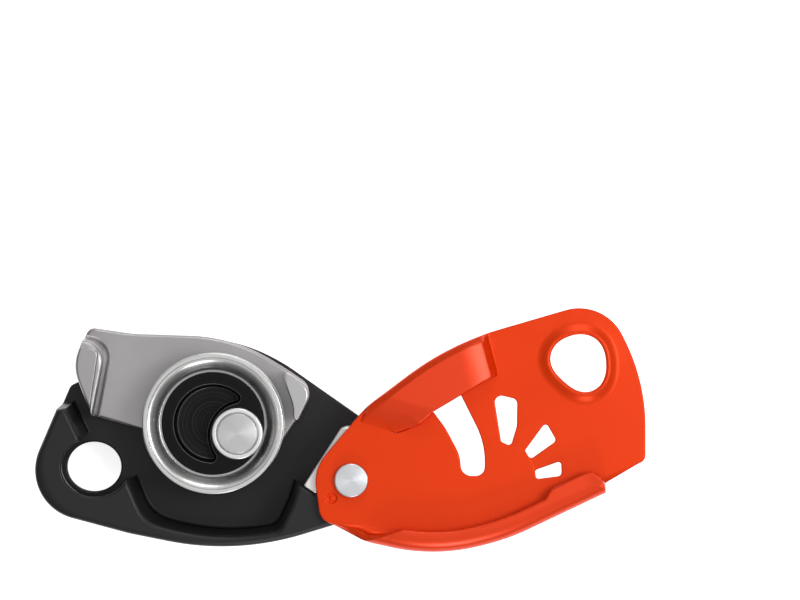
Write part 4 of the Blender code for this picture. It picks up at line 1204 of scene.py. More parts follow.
    def build_frame(self) -> None:
        """Makes the frame: its wall, its channel, its eye and its bores."""
        back, top = drawing.span("side_frame")
        floor = back + self.floor
        body = Bench.loft("frame_shell", self.rim(), round_edges(back, top, self.edge, self.edge + 0.4, 8))
        foot = [(0.0, -0.9), (0.12, -0.45), (0.4, -0.14), (0.9, 0.05)]
        drafted = [(floor + up, grow - self.draft) for up, grow in foot]
        chamber = Bench.loft("chamber", self.channel(), [*drafted, *flare(top, -0.9, 1.5, 9)])
        Bench.cut(body, chamber, self.floor_edge(floor))
        for shape, grow in ((self.shoe_shape(), GAP), (self.shoe_relief(), 0.0)):
            Bench.cut(body, Bench.loft("shoe_room", shape, [(floor, grow), (top + OVER, grow)]))
        eye = Round(self.eye, *self.eye_half, count=120)
        mouth = [(back + up, grow) for up, grow in ((-0.6, 2.3), (0.05, 1.0), (0.35, 0.45), (0.9, 0.0))]
        Bench.cut(body, Bench.loft("eye", eye, [*mouth, *flare(floor, 0.0, 0.5, 6)]))
        ring_at = (self.eye[0] + self.ring + 0.2, self.eye[1] + 0.5)
        ring = Round(ring_at, self.eye_half[0] + self.ring + 0.55, self.eye_half[1] + self.ring, 140)
        Bench.cut(body, Bench.loft("eye_ring", ring, [(floor, self.undercut), *flare(top, 0.0, 0.6, 6)]))
        Bench.drill(body, AXLE, self.axle_bore, back, floor)
        radius, deep = self.spring_room
        Bench.cut(body, Bench.bore(AXLE, radius, floor - deep, floor, 0.3))
        Bench.drill(body, drawing.pivot, self.pivot_bore, back, top)
        Bench.cut(body, self.drive_slot(back, floor))
        self.drill_pins(body, back, floor)
        Bench.finish(body, "frame_body", FRAME_BLACK, "side_frame")

    def build_shoe(self) -> None:
        """Makes the friction shoe."""
        low, top = drawing.span("friction_shoe")
        shoe = Bench.loft("shoe_block", self.shoe_shape(), round_edges(low, top, 0.35, 0.35))
        self.drill_pins(shoe, low, low + 4.7)
        Bench.finish(shoe, "frame_body", SHOE_STEEL, "friction_shoe")

    def build(self) -> None:
        """Makes the frame and the shoe."""
        self.build_frame()
        self.build_shoe()

    def drive_slot(self, back: float, floor: float) -> bpy.types.Object:
        """A cutter for the curved slot that the drive pin runs in, from the pin's own place at rest.

        Args:
            back: The height of the frame's back.
            floor: The height of its floor.

        Returns:
            The cutter.
        """
        low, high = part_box("drive_pin")
        pin = ((low + high) / 2.0 - drawing.axle) / MM
        radius = Vector(pin[:2]).length
        rest = math.degrees(math.atan2(pin.y, pin.x))
        swing = drawing.joints["cam_pivot"]["range_deg"][0]
        half, first, last = 1.8, rest + 0.6, rest + swing - 0.6
        outer = arc_corners((0.0, 0.0), radius + half, last, first, 30)
        inner = arc_corners((0.0, 0.0), radius - half, first, last, 30)
        start, end = polar((0.0, 0.0), radius, first), polar((0.0, 0.0), radius, last)
        cap_a = arc_corners(start, half, first + 15.0, first + 165.0, 10)
        cap_b = arc_corners(end, half, last + 195.0, last + 345.0, 10)
        outline = Outline(outer + cap_a + inner + cap_b)
        return Bench.loft("slot", outline, [(back - OVER, 0.0), (floor + OVER, 0.0)])


@dataclass
class CamSide:
    """The cast cam, its hub and what fixes them to the axle.

    Attributes:
        thick: The cam plate's thickness.
        nose: How high the nose stands on the plate.
        thumb: How high the thumb block stands on the plate.
        shoulder: The width of the thumb block's ledge.
        pad: How high the thumb's flat pad stands on that ledge.
        bore: The radius of the bore for the cam's bush.
        pocket: The hub's crescent pocket.
        foot, shank, head: The radii of the axle's riveted end, of its shank and of its head.
        head_thick: How thick the axle's head and the collar's rim are.
        collar: The radius of the collar round it.
    """

    thick: float = 3.0
    nose: float = 12.3
    thumb: float = 7.6
    shoulder: float = 3.4
    pad: float = 0.55
    bore: float = 4.0
    pocket: Crescent = Crescent()
    foot: float = 4.9
    shank: float = 2.8
    head: float = 5.2
    head_thick: float = 0.8
    collar: float = 6.7

    def rim(self) -> Outline:
        """The cam's silhouette."""
        return Outline(
            [
                (6.8, -9.5, 4.0),
                (15.8, 4.0, 1.5),
                (19.6, 11.75, 4.2),
                (12.6, 16.5, 26.0),
                (-1.4, 25.0, 43.0),
                (-28.1, 25.9, 25.0),
                (-39.5, 27.6, 2.2),
                (-43.5, 17.6, 11.0),
                (-38.4, 4.4, 0.6),
                (-19.5, -1.0, 4.0),
                (-14.0, -10.5, 9.0),
            ]
        )

    def thumb_block(self, top: float) -> bpy.types.Object:
        """Makes the thumb block: a ledge with a soft foot, and a flat pad on it.

        Args:
            top: The height of the cam plate's face.

        Returns:
            The block, trimmed to the cam's silhouette.
        """
        thumb_top = top + self.thumb
        ledge = thumb_top - self.pad
        block = Outline([(-38.3, 1.0, 0.0), (-33.85, 23.6, 5.0), (-46.0, 25.4, 0.0), (-50.0, 1.0, 0.0)])
        rise = ((-1.0, 1.0), (0.08, 1.0), (0.25, 0.66), (0.6, 0.4), (1.3, 0.22))
        foot = [(top + up, grow) for up, grow in rise]
        bend = [(height, grow - 0.32) for height, grow in round_top(ledge, 1.05, 8)]
        raised = Bench.loft("thumb", block, [*foot, *bend, (ledge, -self.shoulder)])
        face = [(-38.75, 1.0, 0.0), (-38.6, 8.0, 30.0), (-36.5, 21.7, 1.5)]
        pad = Outline([*face, (-46.0, 22.9, 0.0), (-50.0, 1.0, 0.0)])
        seat = [(ledge + up, grow) for up, grow in ((-0.3, 0.22), (0.04, 0.18), (0.12, 0.06))]
        Bench.join(raised, Bench.loft("pad", pad, [*seat, *round_top(thumb_top, 0.3)]))
        trim = [(height, grow - 0.12) for height, grow in round_top(thumb_top + 0.01, 0.75)]
        inset = Bench.loft("inset", self.rim(), [(top - 2.0, -0.12), *trim])
        return Bench.combine(raised, inset, "INTERSECT")

    def build_cam(self) -> None:
        """Makes the cam plate with its nose and thumb block."""
        low = drawing.low("cam_plate")
        top = low + self.thick
        cam = Bench.loft("cam_casting", self.rim(), round_edges(low, top, 0.3, 0.85, 7))
        nose = Outline(
            [(14.55, 3.5, 0.7), (15.76, 3.4, 0.7), (19.6, 11.3, 3.9), (11.0, 17.15, 0.9), (14.55, 7.2, 9.0)]
        )
        block = Bench.loft("nose", nose, [(top - 1.0, 0.0), *round_top(top + self.nose, 0.4)])
        Bench.join(cam, block, self.thumb_block(top))
        Bench.drill(cam, AXLE, self.bore, low, top)
        Bench.finish(cam, "cam", CAM_STEEL, "cam_plate", 28.0)

    def build_hub(self) -> None:
        """Makes the black hub with its crescent pocket."""
        low, top = drawing.span("wheel_hub")
        reach = drawing.reach("wheel_hub")
        core, flange = reach - 1.5, top - 1.0
        steps = [(core, low, 0.2), (core, flange, 0.1), (reach, flange, 0.1), (reach, top, 0.28)]
        profile = Outline([(0.0, low, 0.0), *steps, (0.0, top, 0.0)])
        hub = Bench.turned("hub_disc", profile, drawing.wheel, 200)
        floor = top - POCKET_DEEP
        levels = [(floor, -1.05), (floor + 0.12, -0.9), (floor + 0.45, -0.8), (top - 1.5, -0.62)]
        levels += [(top - 0.95, -0.45), (top - 0.35, -0.05), *flare(top, 0.0, 0.25, 4)[1:]]
        Bench.cut(hub, Bench.loft("pocket", self.pocket, levels))
        Bench.cut(hub, Bench.bore(AXLE, self.bore, low - OVER, top, 0.2))
        Bench.finish(hub, "cam", HUB_BLACK, "wheel_hub")

    def build_axle(self) -> None:
        """Makes the axle's brushed head and the collar under it."""
        low, top = drawing.span("cam_axle")
        heights = (low, drawing.low("axle_back_washer") - GAP, top - self.head_thick, top)
        section = headed_pin(heights, (self.foot, self.shank, self.head), (0.55, 0.22))
        Bench.finish(Bench.turned("axle_pin", section, AXLE), "frame_body", AXLE_STEEL, "cam_axle")
        low, top = drawing.span("axle_collar")
        seat, inner, bore = top - self.head_thick, self.head + GAP, self.shank + GAP
        outside = [(bore, low, 0.05), (self.collar, low, 0.15), (self.collar, top, 0.42)]
        ring = Outline([*outside, (inner, top, 0.12), (inner, seat, 0.1), (bore, seat, 0.05)])
        Bench.finish(Bench.turned("collar_ring", ring, AXLE), "frame_body", COLLAR_STEEL, "axle_collar")

    def build(self) -> None:
        """Makes everything on the cam's side of the axle."""
        self.build_cam()
        self.build_hub()
        self.build_axle()


@dataclass
class WheelSide:
    """The grooved wheel.

    Attributes:
        groove: How deep the groove round it is.
        rim: The width of the flange at its edge.
        line: How far in from the edge the turned line lies.
        steepest: The radius at which the dish in its face is steepest.
        steep: The dish's slope there.
        outward, inward: How far out and in from there the slope fades.
    """

    groove: float = 3.2
    rim: float = 0.9
    line: float = 1.24
    steepest: float = 15.2
    steep: float = 0.94
    outward: float = 1.85
    inward: float = 1.5

    def profile(self) -> Outline:
        """The wheel's section, from its bore round the groove to the turned dish on its face."""
        low, top = drawing.span("wheel_sheave")
        reach = drawing.reach("wheel_sheave")
        face, bore = drawing.reach("wheel_hub") + GAP, drawing.reach("wheel_bush") + GAP
        shoulder = drawing.high("wheel_hub") - 1.3
        middle, half = (low + top) / 2.0, (top - low) / 2.0 - self.rim
        groove = []
        for k in range(33):
            angle = math.pi * (k / 32.0 - 0.5)
            groove.append((reach - self.groove * math.cos(angle), middle + half * math.sin(angle), 0.0))
        line = reach - self.line
        dish, drop = [], 0.02
        radii = [float(radius) for radius in np.linspace(line - 0.16, face + 0.12, 60)]
        for radius in radii:
            dish.append((radius, top - drop, 0.0))
            away = radius - self.steepest
            reach_of = self.outward if away > 0.0 else self.inward
            drop += self.steep * max(0.0, 1.0 - (away / reach_of) ** 2) * (radii[0] - radii[1])
        return Outline(
            [
                (bore, low, 0.1),
                (reach, low, 0.4),
                *groove,
                (reach, top, 0.34),
                (line + 0.16, top, 0.08),
                (line, top - 0.26, 0.05),
                *dish,
                (face, dish[-1][1], 0.14),
                (face, shoulder, 0.05),
                (bore, shoulder, 0.1),
            ],
            0.004,
        )

    def build(self) -> None:
        """Makes the wheel."""
        wheel = Bench.turned("wheel_ring", self.profile(), drawing.wheel, 240)
        Bench.finish(wheel, "wheel", WHEEL_STEEL, "wheel_sheave", 40.0)


def inside(polygon: Sequence[Point], spots: np.ndarray) -> np.ndarray:
    """Which spots lie in a polygon.

    Args:
        polygon: Its corners.
        spots: An array of (x, y) rows.

    Returns:
        True or False for each row.
    """
    found = np.zeros(len(spots), bool)
    x, y = spots[:, 0], spots[:, 1]
    for (x0, y0), (x1, y1) in zip(polygon, list(polygon[1:]) + [polygon[0]]):
        if y0 == y1:
            continue
        crosses = ((y0 > y) != (y1 > y)) & (x < x0 + (x1 - x0) * (y - y0) / (y1 - y0))
        found ^= crosses
    return found


def nearest(
    lines: Sequence[Sequence[Point]], spots: np.ndarray, closed: bool
) -> tuple[np.ndarray, np.ndarray]:
    """Finds the nearest place on some lines.

    Args:
        lines: Each line's points.
        spots: An array of (x, y) rows.
        closed: Whether each line ends where it starts.

    Returns:
        How far each spot is from there, and the way that is the line's right there.
    """
    best, right = np.full(len(spots), 1e9), np.zeros_like(spots)
    for line in lines:
        points = np.array(line, float)
        starts, ends = (points, np.roll(points, -1, 0)) if closed else (points[:-1], points[1:])
        for start, end in zip(starts, ends):
            run = end - start
            square = max(1e-12, run @ run)
            share = np.clip(((spots - start) @ run) / square, 0.0, 1.0)
            away = np.hypot(*(start + share[:, None] * run - spots).T)
            closer = away < best
            best[closer] = away[closer]
            right[closer] = np.array((run[1], -run[0])) / math.sqrt(square)
    return best, right


def beside(line: Sequence[Point], away: float) -> list[Point]:
    """The points of an open line moved to its right.

    Args:
        line: The line's points.
        away: How far it is moved.

    Returns:
        As many points.
    """
    points = [Vector(p) for p in line]
    moved = []
    for i, point in enumerate(points):
        way = (points[min(i + 1, len(points) - 1)] - points[max(i - 1, 0)]).normalized()
        moved.append(tuple(point + Vector((way.y, -way.x)) * away))
    return moved


@dataclass
class PressedPlate:
    """The moving side plate: a sheet with a sheared finger bridge, an eye collar and a rolled lower edge.

    Attributes:
        sheet: Its thickness.
        edge: The radius of its edges.
        roll_out, roll_up: How far the rolled edge reaches out and up.
        bridge_high: How high the finger bridge stands.
        ramp, step, fall_ease: The lengths of its long ramp, its steep step and the shoulder before that.
        shoulder_drop: How much the shoulder falls.
        bridge_round, round_drop: The width of the bridge's rolled-off outer edge, and how much it falls.
        shear: The width of the cut beside the bridge.
        collar_high, collar_wide: The raised collar round the eye.
        skew: How far the rolled edge's free side runs on past its root at the end.
        lean: How far the bridge's free side leans over its cut.
        eye: The middle of the carabiner's eye.
        eye_radius: The eye's mean radius.
        eye_waves: The eye's waves, each as its count round the eye, its height and where it peaks.
        dent_rings: The radii of the rings that the small dent is modelled with.
        collar_rings: How far off the eye the rings lie that its collar is modelled with.
        round_lines: How far in from the edge the lines lie that the bridge's outer edge is modelled with.
        hole: The radius of the hole for the rivet's bush.
        rivet: The radii of the rivet's formed end, of its shank and of its head.
        rivet_ends: How thick its formed end and its head are.
        end_up: How far up the plate's short end the rolled edge's last section reaches.
        points, edges: The points in plan that the triangles use, and the lines that they keep to.
    """

    sheet: float = SHEET
    edge: float = 0.32
    roll_out: float = 4.4
    roll_up: float = 3.5
    bridge_high: float = 4.5
    ramp: float = 9.0
    step: float = 2.4
    fall_ease: float = 6.5
    shoulder_drop: float = 0.9
    bridge_round: float = 1.8
    round_drop: float = 1.4
    shear: float = 0.35
    collar_high: float = 1.3
    collar_wide: float = 3.5
    skew: float = 0.45
    lean: float = 0.45
    eye: Point = (89.0, 18.6)
    eye_radius: float = 7.27
    eye_waves: tuple[tuple[int, float, float], ...] = ((2, 0.45, -51.0), (3, 0.4, 52.5))
    dent_rings: tuple[float, ...] = (2.6, 1.9, 1.55, 1.45, 1.36, 1.27, 1.18, 1.08, 0.8, 0.7, 0.6, 0.5, 0.4)
    collar_rings: tuple[float, ...] = (0.6, 0.9, 1.3, 1.8, 2.3, 2.9, 3.5)
    round_lines: tuple[float, ...] = (0.5, 0.9, 1.3, 1.5, 1.6, 1.68, 1.74, 1.8)
    hole: float = 3.4
    rivet: tuple[float, float, float] = (4.6, 2.2, 4.37)
    rivet_ends: tuple[float, float] = (1.4, 1.6)
    end_up: float = 2.45
    points: list[Vector] = field(default_factory=list)
    edges: list[tuple[int, int]] = field(default_factory=list)

    def rim_corners(self) -> list[Corner]:
        """The plate's silhouette, without its rolled edge."""
        return [
            (106.1, -7.2, 2.2),
            (106.1, 13.6, 50.0),
            (95.4, 35.1, 12.5),
            (55.1, 23.3, 74.0),
            (33.6, 7.1, 25.0),
            (19.9, -9.1, 11.0),
            (21.6, -21.9, 4.0),
            (30.0, -26.1, 0.0),
        ]

    def roll_line(self) -> list[Vector]:
        """The silhouette that the rolled edge follows."""
        start = [(23.6, -22.9, 0.0), (33.6, -27.9, 12.0), (51.5, -31.9, 50.0)]
        corners = [*start, (70.4, -27.2, 60.0), (95.7, -15.2, 0.0), (60.0, 60.0, 0.0)]
        return [Vector(p) for p in Outline(corners).points()[:-1]]

    def stations(self) -> list[tuple[Vector, Vector, float, float]]:
        """Points along the rolled edge.

        Returns:
            Each point, its outward way, the length before it and the length after it.
        """
        path = self.roll_line()
        lengths = [0.0]
        for a, b in zip(path, path[1:]):
            lengths.append(lengths[-1] + (b - a).length)
        total = lengths[-1]
        places = [0.02, *np.arange(0.5, total - 8.0, 0.55), *np.arange(total - 8.0, total, 0.25), total]
        found = []
        for place in places:
            i = max(k for k, length in enumerate(lengths[:-1]) if length <= place + 1e-9)
            share = (place - lengths[i]) / (lengths[i + 1] - lengths[i])
            point = path[i] + (path[i + 1] - path[i]) * share
            pairs = [(path[max(k - 1, 0)], path[min(k + 1, len(path) - 1)]) for k in (i, i + 1)]
            ways = [(after - before).normalized() for before, after in pairs]
            way = (ways[0] * (1.0 - share) + ways[1] * share).normalized()
            found.append((point, Vector((way.y, -way.x)), place, total - place))
        return found

    def roll_shape(self, done: float, left: float) -> tuple[float, float]:
        """How far the edge is bent, in degrees, and how long its returned flange is.

        Args:
            done: The length of the rolled edge before the place.
            left: Its length after it.

        Returns:
            The bend and the flange's length.
        """
        bend = 180.0 * float(ease((done + 2.4) / 23.5) * ease((done + 0.3) / 3.0))
        flange = 0.08 + 0.92 * float(ease((done - 14.0) / 8.0))
        flange += 1.7 * float(ease((13.0 - abs(left - 8.5)) / 9.0) * ease((15.6 - left) / 3.6))
        if left < 5.5:
            share = math.sqrt(max(0.0, 1.0 - ((5.5 - left) / 5.5) ** 2))
            flange *= 0.05 + 0.95 * share
            bend = 100.0 + 80.0 * share
        return bend, flange

    def roll_section(self, bend: float, flange: float) -> tuple[list[Point], list[Point]]:
        """The bent edge's outer and inner faces as (outward, up) pairs, with its free end rounded.

        Args:
            bend: How far it is bent, in degrees.
            flange: How long its flange is.

        Returns:
            The outer face's points and the inner face's, root first.
        """
        outer: list[Point] = []
        inner: list[Point] = []
        in_out, in_up = self.roll_out - self.sheet, self.roll_up - self.sheet
        for k in range(21):
            angle = math.radians(bend * k / 20.0)
            outer.append((self.roll_out * math.sin(angle), self.roll_up * (1.0 - math.cos(angle))))
            inner.append((in_out * math.sin(angle), self.roll_up - in_up * math.cos(angle)))
        end = math.radians(bend)
        way = Vector((math.cos(end), math.sin(end)))
        tip_out = Vector(outer[-1]) + way * flange
        tip_in = Vector(inner[-1]) + way * flange
        across = (tip_in - tip_out).normalized()
        radius = min(0.6, (tip_in - tip_out).length * 0.45)
        for tip, face, side in ((tip_out, outer, across), (tip_in, inner, -across)):
            for k in range(4):
                turn = math.radians(30.0 * k)
                spot = tip + side * radius * (1.0 - math.cos(turn)) - way * radius * (1.0 - math.sin(turn))
                face.append(tuple(spot))
        return outer, inner

    def creases(self) -> tuple[tuple[Vector, Vector], tuple[Vector, Vector]]:
        """The lines in plan where the bridge starts to rise and where it is back down."""
        rise = (Vector((31.9, 2.9)), Vector((42.0, 0.1)))
        fall = (Vector((64.9, 27.5)), Vector((68.0, 15.6)))
        return rise, fall

    def shear_line(self) -> list[Point]:
        """The cut that frees the bridge's inner edge."""
        start = [(41.0, 0.55), (43.4, 1.3), (47.6, 3.1), (50.7, 6.2)]
        return [*start, (57.9, 10.5), (63.3, 13.7), (67.3, 15.75)]

    def bridge_zone(self) -> list[Point]:
        """The part of the sheet that the bridge is raised from."""
        rise, fall = self.creases()
        freed = beside(self.shear_line(), self.shear / 2.0)
        return [tuple(rise[1]), *freed, tuple(fall[1]), tuple(fall[0]), (50.0, 40.0), tuple(rise[0])]

    def eye_shape(self) -> Outline:
        """The carabiner's eye: a circle with a two-lobed and a three-lobed wave."""
        corners = []
        for turn in np.arange(0.0, 360.0, 3.75):
            radius = self.eye_radius
            for count, high, peak in self.eye_waves:
                radius += high * math.cos(math.radians(count * (turn - peak)))
            corners.append((*polar(self.eye, radius, turn), 0.0))
        return Outline(corners)

    def big_window(self) -> Outline:
        """The long curved window, joined to the cut beside the bridge."""
        shear = self.shear_line()
        side = beside(shear, self.shear)
        beside_it = [(*point, 0.4 if k in (3, 4) else 0.0) for k, point in enumerate(side)]
        left = [(54.2, 1.5, 18.0), (57.9, -5.5, 9.0), (58.3, -10.9, 2.8)]
        right = [(64.2, -10.9, 2.8), (64.7, -3.0, 26.0)]
        back = [(*point, 0.0) for point in reversed(shear)]
        return Outline([*beside_it[:4], *left, *right, *beside_it[4:], *back])

    def windows(self) -> list[Outline]:
        """The three small windows that fan out from the bridge."""
        corners = (
            [(68.6, -2.0, 0.6), (71.1, -3.2, 0.9), (72.7, 2.0, 6.0), (72.8, 9.0, 1.6), (66.6, 10.4, 1.7)],
            [(74.8, -4.3, 0.5), (76.2, -6.6, 0.9), (83.0, -1.8, 1.0), (80.2, 3.1, 0.9)],
            [(77.7, -11.75, 0.8), (84.3, -10.9, 1.1), (84.2, -7.0, 0.8), (77.4, -9.4, 0.7)],
        )
        return [Outline(window) for window in corners]

    def dimple(self) -> Point:
        """The middle of the small round dent beside the rivet."""
        return polar(drawing.pivot, 6.9, -137.0)

    def height(self, spots: np.ndarray, rim: Sequence[Point], front: bool) -> np.ndarray:
        """How high the pressed sheet stands over its flat web.

        Args:
            spots: An array of (x, y) rows.
            rim: The plate's outer edge.
            front: Whether the front face is asked for, which alone has the dent.

        Returns:
            The height at each row.
        """
        rise, fall = self.creases()

        def past(line: tuple[Vector, Vector]) -> np.ndarray:
            """Signed distance from a line, positive on its left."""
            way = (line[1] - line[0]).normalized()
            return way.x * (spots[:, 1] - line[0].y) - way.y * (spots[:, 0] - line[0].x)

        lift = np.zeros(len(spots))
        zone = inside(self.bridge_zone(), spots)
        climb = np.clip(past(rise) / self.ramp, 0.0, 1.0)
        up = 0.4 * ease(climb) + 0.6 * (1.0 - (1.0 - climb) ** 1.6)
        beyond = -past(fall)
        down = ease(beyond / self.step)
        shoulder = 1.0 - np.clip((beyond - self.step) / self.fall_ease, 0.0, 1.0)
        bridge = up * down * (self.bridge_high - self.shoulder_drop * shoulder**2)
        near = np.clip(nearest([rim], spots, False)[0] / self.bridge_round, 0.0, 1.0)
        bridge -= self.round_drop * up * down * (1.0 - near) ** 1.15
        lift[zone] = bridge[zone]
        collar = nearest([self.eye_shape().points()], spots, True)[0]
        lift += self.collar_high * (1.0 - ease(collar / self.collar_wide)) - 0.35 * (1.0 - ease(collar / 0.9))
        if front:
            dent = np.hypot(*(spots - np.array(self.dimple())).T)
            lift -= 0.45 * ease((1.5 - dent) / 0.4) - 0.25 * ease((0.8 - dent) / 0.4)
        return lift

    def leaning(self, spots: np.ndarray, lifted: np.ndarray) -> np.ndarray:
        """How far the bridge leans over the cut beside it.

        Args:
            spots: An array of (x, y) rows.
            lifted: The sheet's height at each row.

        Returns:
            The (x, y) shift of each row.
        """
        away, right = nearest([self.shear_line()], spots, False)
        reach = 0.7 * ease(lifted / 0.12) + 0.3 * ease((lifted - self.sheet - 0.3) / 0.5)
        on_bridge = inside(self.bridge_zone(), spots)
        return right * (self.lean * on_bridge * reach * ease(1.0 - away / 4.0))[:, None]

    def add(self, line: Sequence[Sequence[float]], closed: bool) -> None:
        """Adds a line that the triangles keep to.

        Args:
            line: Its points.
            closed: Whether it ends where it starts.
        """
        if len(line) < 2:
            return
        first = len(self.points)
        self.points.extend(Vector(p[:2]) for p in line)
        self.edges.extend((first + k, first + k + 1) for k in range(len(line) - 1))
        if closed:
            self.edges.append((first + len(line) - 1, first))

    def clipped(self, start: Vector, end: Vector, steps: int) -> list[Point]:
        """The stretch of a straight line that lies on the bridge.

        Args:
            start, end: The line's ends.
            steps: How many chords the stretch has.

        Returns:
            Its points, or none where the line misses the bridge.
        """
        shares = np.linspace(0.0, 1.0, 241)
        spots = np.array([tuple(start + (end - start) * s) for s in shares])
        kept = shares[inside(self.bridge_zone(), spots)]
        if len(kept) < 2:
            return []
        low, high = max(0.0, kept[0] - 0.004), min(1.0, kept[-1] + 0.004)
        return [tuple(start + (end - start) * (low + (high - low) * k / steps)) for k in range(steps + 1)]

    def crease_lines(self) -> list[list[Point]]:
        """Lines across the bridge wherever its height bends."""
        rise, fall = self.creases()
        shoulder = np.linspace(self.step, self.step + self.fall_ease, 12)
        falls = [*np.linspace(0.0, self.step, 11), *shoulder[1:]]
        lines = []
        for crease, side, aways, past, steps in (
            (rise, 1.0, np.linspace(0.0, self.ramp, 19), (4.0, 12.0), 16),
            (fall, -1.0, falls, (3.0, 2.0), 12),
        ):
            way = (crease[1] - crease[0]).normalized()
            for away in aways:
                shift = Vector((-way.y, way.x)) * (side * float(away))
                start, end = crease[0] + shift - way * past[0], crease[1] + shift + way * past[1]
                lines.append(self.clipped(start, end, steps))
        return lines

    def sections(
        self, stations: Sequence[tuple[Vector, Vector, float, float]]
    ) -> list[tuple[Vector, Vector, list[Point], list[Point]]]:
        """The rolled edge's sections: each one's root, its outward way, and its outer and inner faces.

        Args:
            stations: The places along the rolled edge.

        Returns:
            A section for each.
        """
        found = []
        for point, out, done, left in stations:
            out = out + Vector((out.y, -out.x)) * self.skew * float(ease((14.0 - left) / 14.0))
            bend, flange = self.roll_shape(done, left)
            reach = self.roll_out * math.sin(math.radians(min(bend, 90.0)))
            found.append((point - out * reach, out, *self.roll_section(bend, flange)))
        return found

    def lay_lines(self, boundary: Sequence[Point], rim: Outline, holes: Sequence[Shape]) -> None:
        """Adds every line that the sheet's triangles keep to.

        Args:
            boundary: The flat sheet's edge, up to the rolled edge's roots.
            rim: The plate's silhouette.
            holes: Its holes, the big window first.
        """
        self.add(boundary, True)
        for hole in holes:
            self.add(hole.points(), True)
        window = holes[0].points()
        for turn in (30.0, 60.0, 90.0):
            away = self.edge * (1.0 - math.cos(math.radians(turn)))
            for hole in holes[1:]:
                self.add(hole.points(away), True)
            self.add(beside(window + window[:1], away)[:-1], True)
            self.add(rim.points(-away)[:-2], False)
        for away in self.collar_rings:
            self.add(self.eye_shape().points(away), True)
        zone = self.bridge_zone()
        for away in self.round_lines:
            ring = np.array(rim.points(-away))
            self.add([tuple(p) for p in ring[inside(zone, ring)]], False)
        for radius in self.dent_rings:
            self.add(Round(self.dimple(), radius, count=48).points(), True)
        for line in self.crease_lines():
            self.add(line, False)

    def triangulate(
        self, boundary: Sequence[Point], loops: Sequence[Sequence[Point]]
    ) -> tuple[np.ndarray, np.ndarray, dict[int, int]]:
        """Divides the flat sheet into triangles that keep to its lines.

        Args:
            boundary: The sheet's edge.
            loops: Its holes.

        Returns:
            The points in plan, each triangle's points, and which point each line's point became.
        """
        result = delaunay_2d_cdt(self.points, self.edges, [], 0, 1e-4)
        flat = np.array([tuple(v) for v in result[0]])
        triangles = np.array([tuple(t) for t in result[2]])
        middles = flat[triangles].mean(1)
        keep = inside(boundary, middles)
        for loop in loops:
            keep &= ~inside(loop, middles)
        used, renumbered = np.unique(triangles[keep], return_inverse=True)
        became = {source: new for new, old in enumerate(used) for source in result[3][int(old)]}
        return flat[used], renumbered.reshape(-1, 3), became

    def sheet_faces(self, triangles: np.ndarray, count: int, roots: Sequence[int]) -> list[tuple[int, ...]]:
        """The sheet's back, front and free edges, which leave out the roots of the rolled edge.

        Args:
            triangles: Each triangle's points on the back.
            count: How many points the back has. The front has as many, after them.
            roots: The rolled edge's roots on the back.

        Returns:
            The faces.
        """
        faces: list[tuple[int, ...]] = []
        sides: set[tuple[int, int]] = set()
        for a, b, c in triangles.tolist():
            faces += [(a, c, b), (a + count, b + count, c + count)]
            sides |= {(a, b), (b, c), (c, a)}
        rolled = {*zip(roots, roots[1:]), *zip(roots[1:], roots)}
        faces += [(a, b, b + count, a + count) for a, b in sides - rolled if (b, a) not in sides]
        return faces

    def roll_faces(
        self,
        sections: Sequence[tuple[Vector, Vector, list[Point], list[Point]]],
        roots: Sequence[int],
        base: float,
        vertices: list[Corner],
    ) -> list[tuple[int, ...]]:
        """Adds the rolled edge's points to the sheet's, and makes its faces.

        Args:
            sections: The rolled edge's sections.
            roots: Their roots among the back's points.
            base: The height of the sheet's back.
            vertices: The sheet's points, back and then front.

        Returns:
            The faces.
        """
        count = len(vertices) // 2
        rows = []
        for root, (place, out, outer, inner) in zip(roots, sections):
            row = []
            for face, start in ((outer, root), (inner, root + count)):
                first = len(vertices)
                for away, up in face[1:]:
                    spot = place + out * away
                    vertices.append((spot.x, spot.y, base + up))
                row.append([start, *range(first, len(vertices))])
            rows.append(row)
        last = len(rows[0][0]) - 1
        faces: list[tuple[int, ...]] = []
        for (outer_a, inner_a), (outer_b, inner_b) in zip(rows, rows[1:]):
            for j in range(last):
                faces.append((outer_a[j], outer_b[j], outer_b[j + 1], outer_a[j + 1]))
                faces.append((inner_a[j], inner_a[j + 1], inner_b[j + 1], inner_b[j]))
            faces.append((outer_a[last], outer_b[last], inner_b[last], inner_a[last]))
        for outer, inner in (rows[0], rows[-1]):
            faces += [(outer[j], outer[j + 1], inner[j + 1], inner[j]) for j in range(last)]
        return faces

    def build_sheet(self) -> None:
        """Makes the plate as one closed mesh."""
        base = drawing.low("moving_side_plate")
        stations = self.stations()
        sections = self.sections(stations)
        outline = Outline(self.rim_corners())
        rim = outline.points()[:-1]
        end = tuple(stations[-1][0] + Vector((0.0, self.end_up)))
        boundary = [*rim, *[tuple(section[0]) for section in sections], end]
        free_rim = [end, *rim]
        holes = [self.big_window(), self.eye_shape(), Round(drawing.pivot, self.hole), *self.windows()]
        loops = [hole.points() for hole in holes]
        self.lay_lines(boundary, outline, holes)
        spots, triangles, became = self.triangulate(boundary, loops)
        roots = [became[len(rim) + k] for k in range(len(sections))]

        edge = np.minimum(nearest([free_rim], spots, False)[0], nearest(loops, spots, True)[0])
        short = np.clip(1.0 - edge / self.edge, 0.0, 1.0)
        edge_round_and_sheen = self.edge * (1.0 - np.sqrt(1.0 - short**2))
        lifted = self.height(spots, free_rim, False)
        back = base + lifted + edge_round_and_sheen * 0.8
        front = base + self.sheet + self.height(spots, free_rim, True) - edge_round_and_sheen
        leant = spots + self.leaning(spots, lifted)
        vertices = [(x, y, z) for heights in (back, front) for (x, y), z in zip(leant, heights)]
        faces = self.sheet_faces(triangles, len(spots), roots)
        faces += self.roll_faces(sections, roots, base, vertices)
        plate = Bench.mesh("plate_sheet", vertices, faces)
        Bench.finish(plate, "plate", PLATE_ORANGE, "moving_side_plate", 38.0)

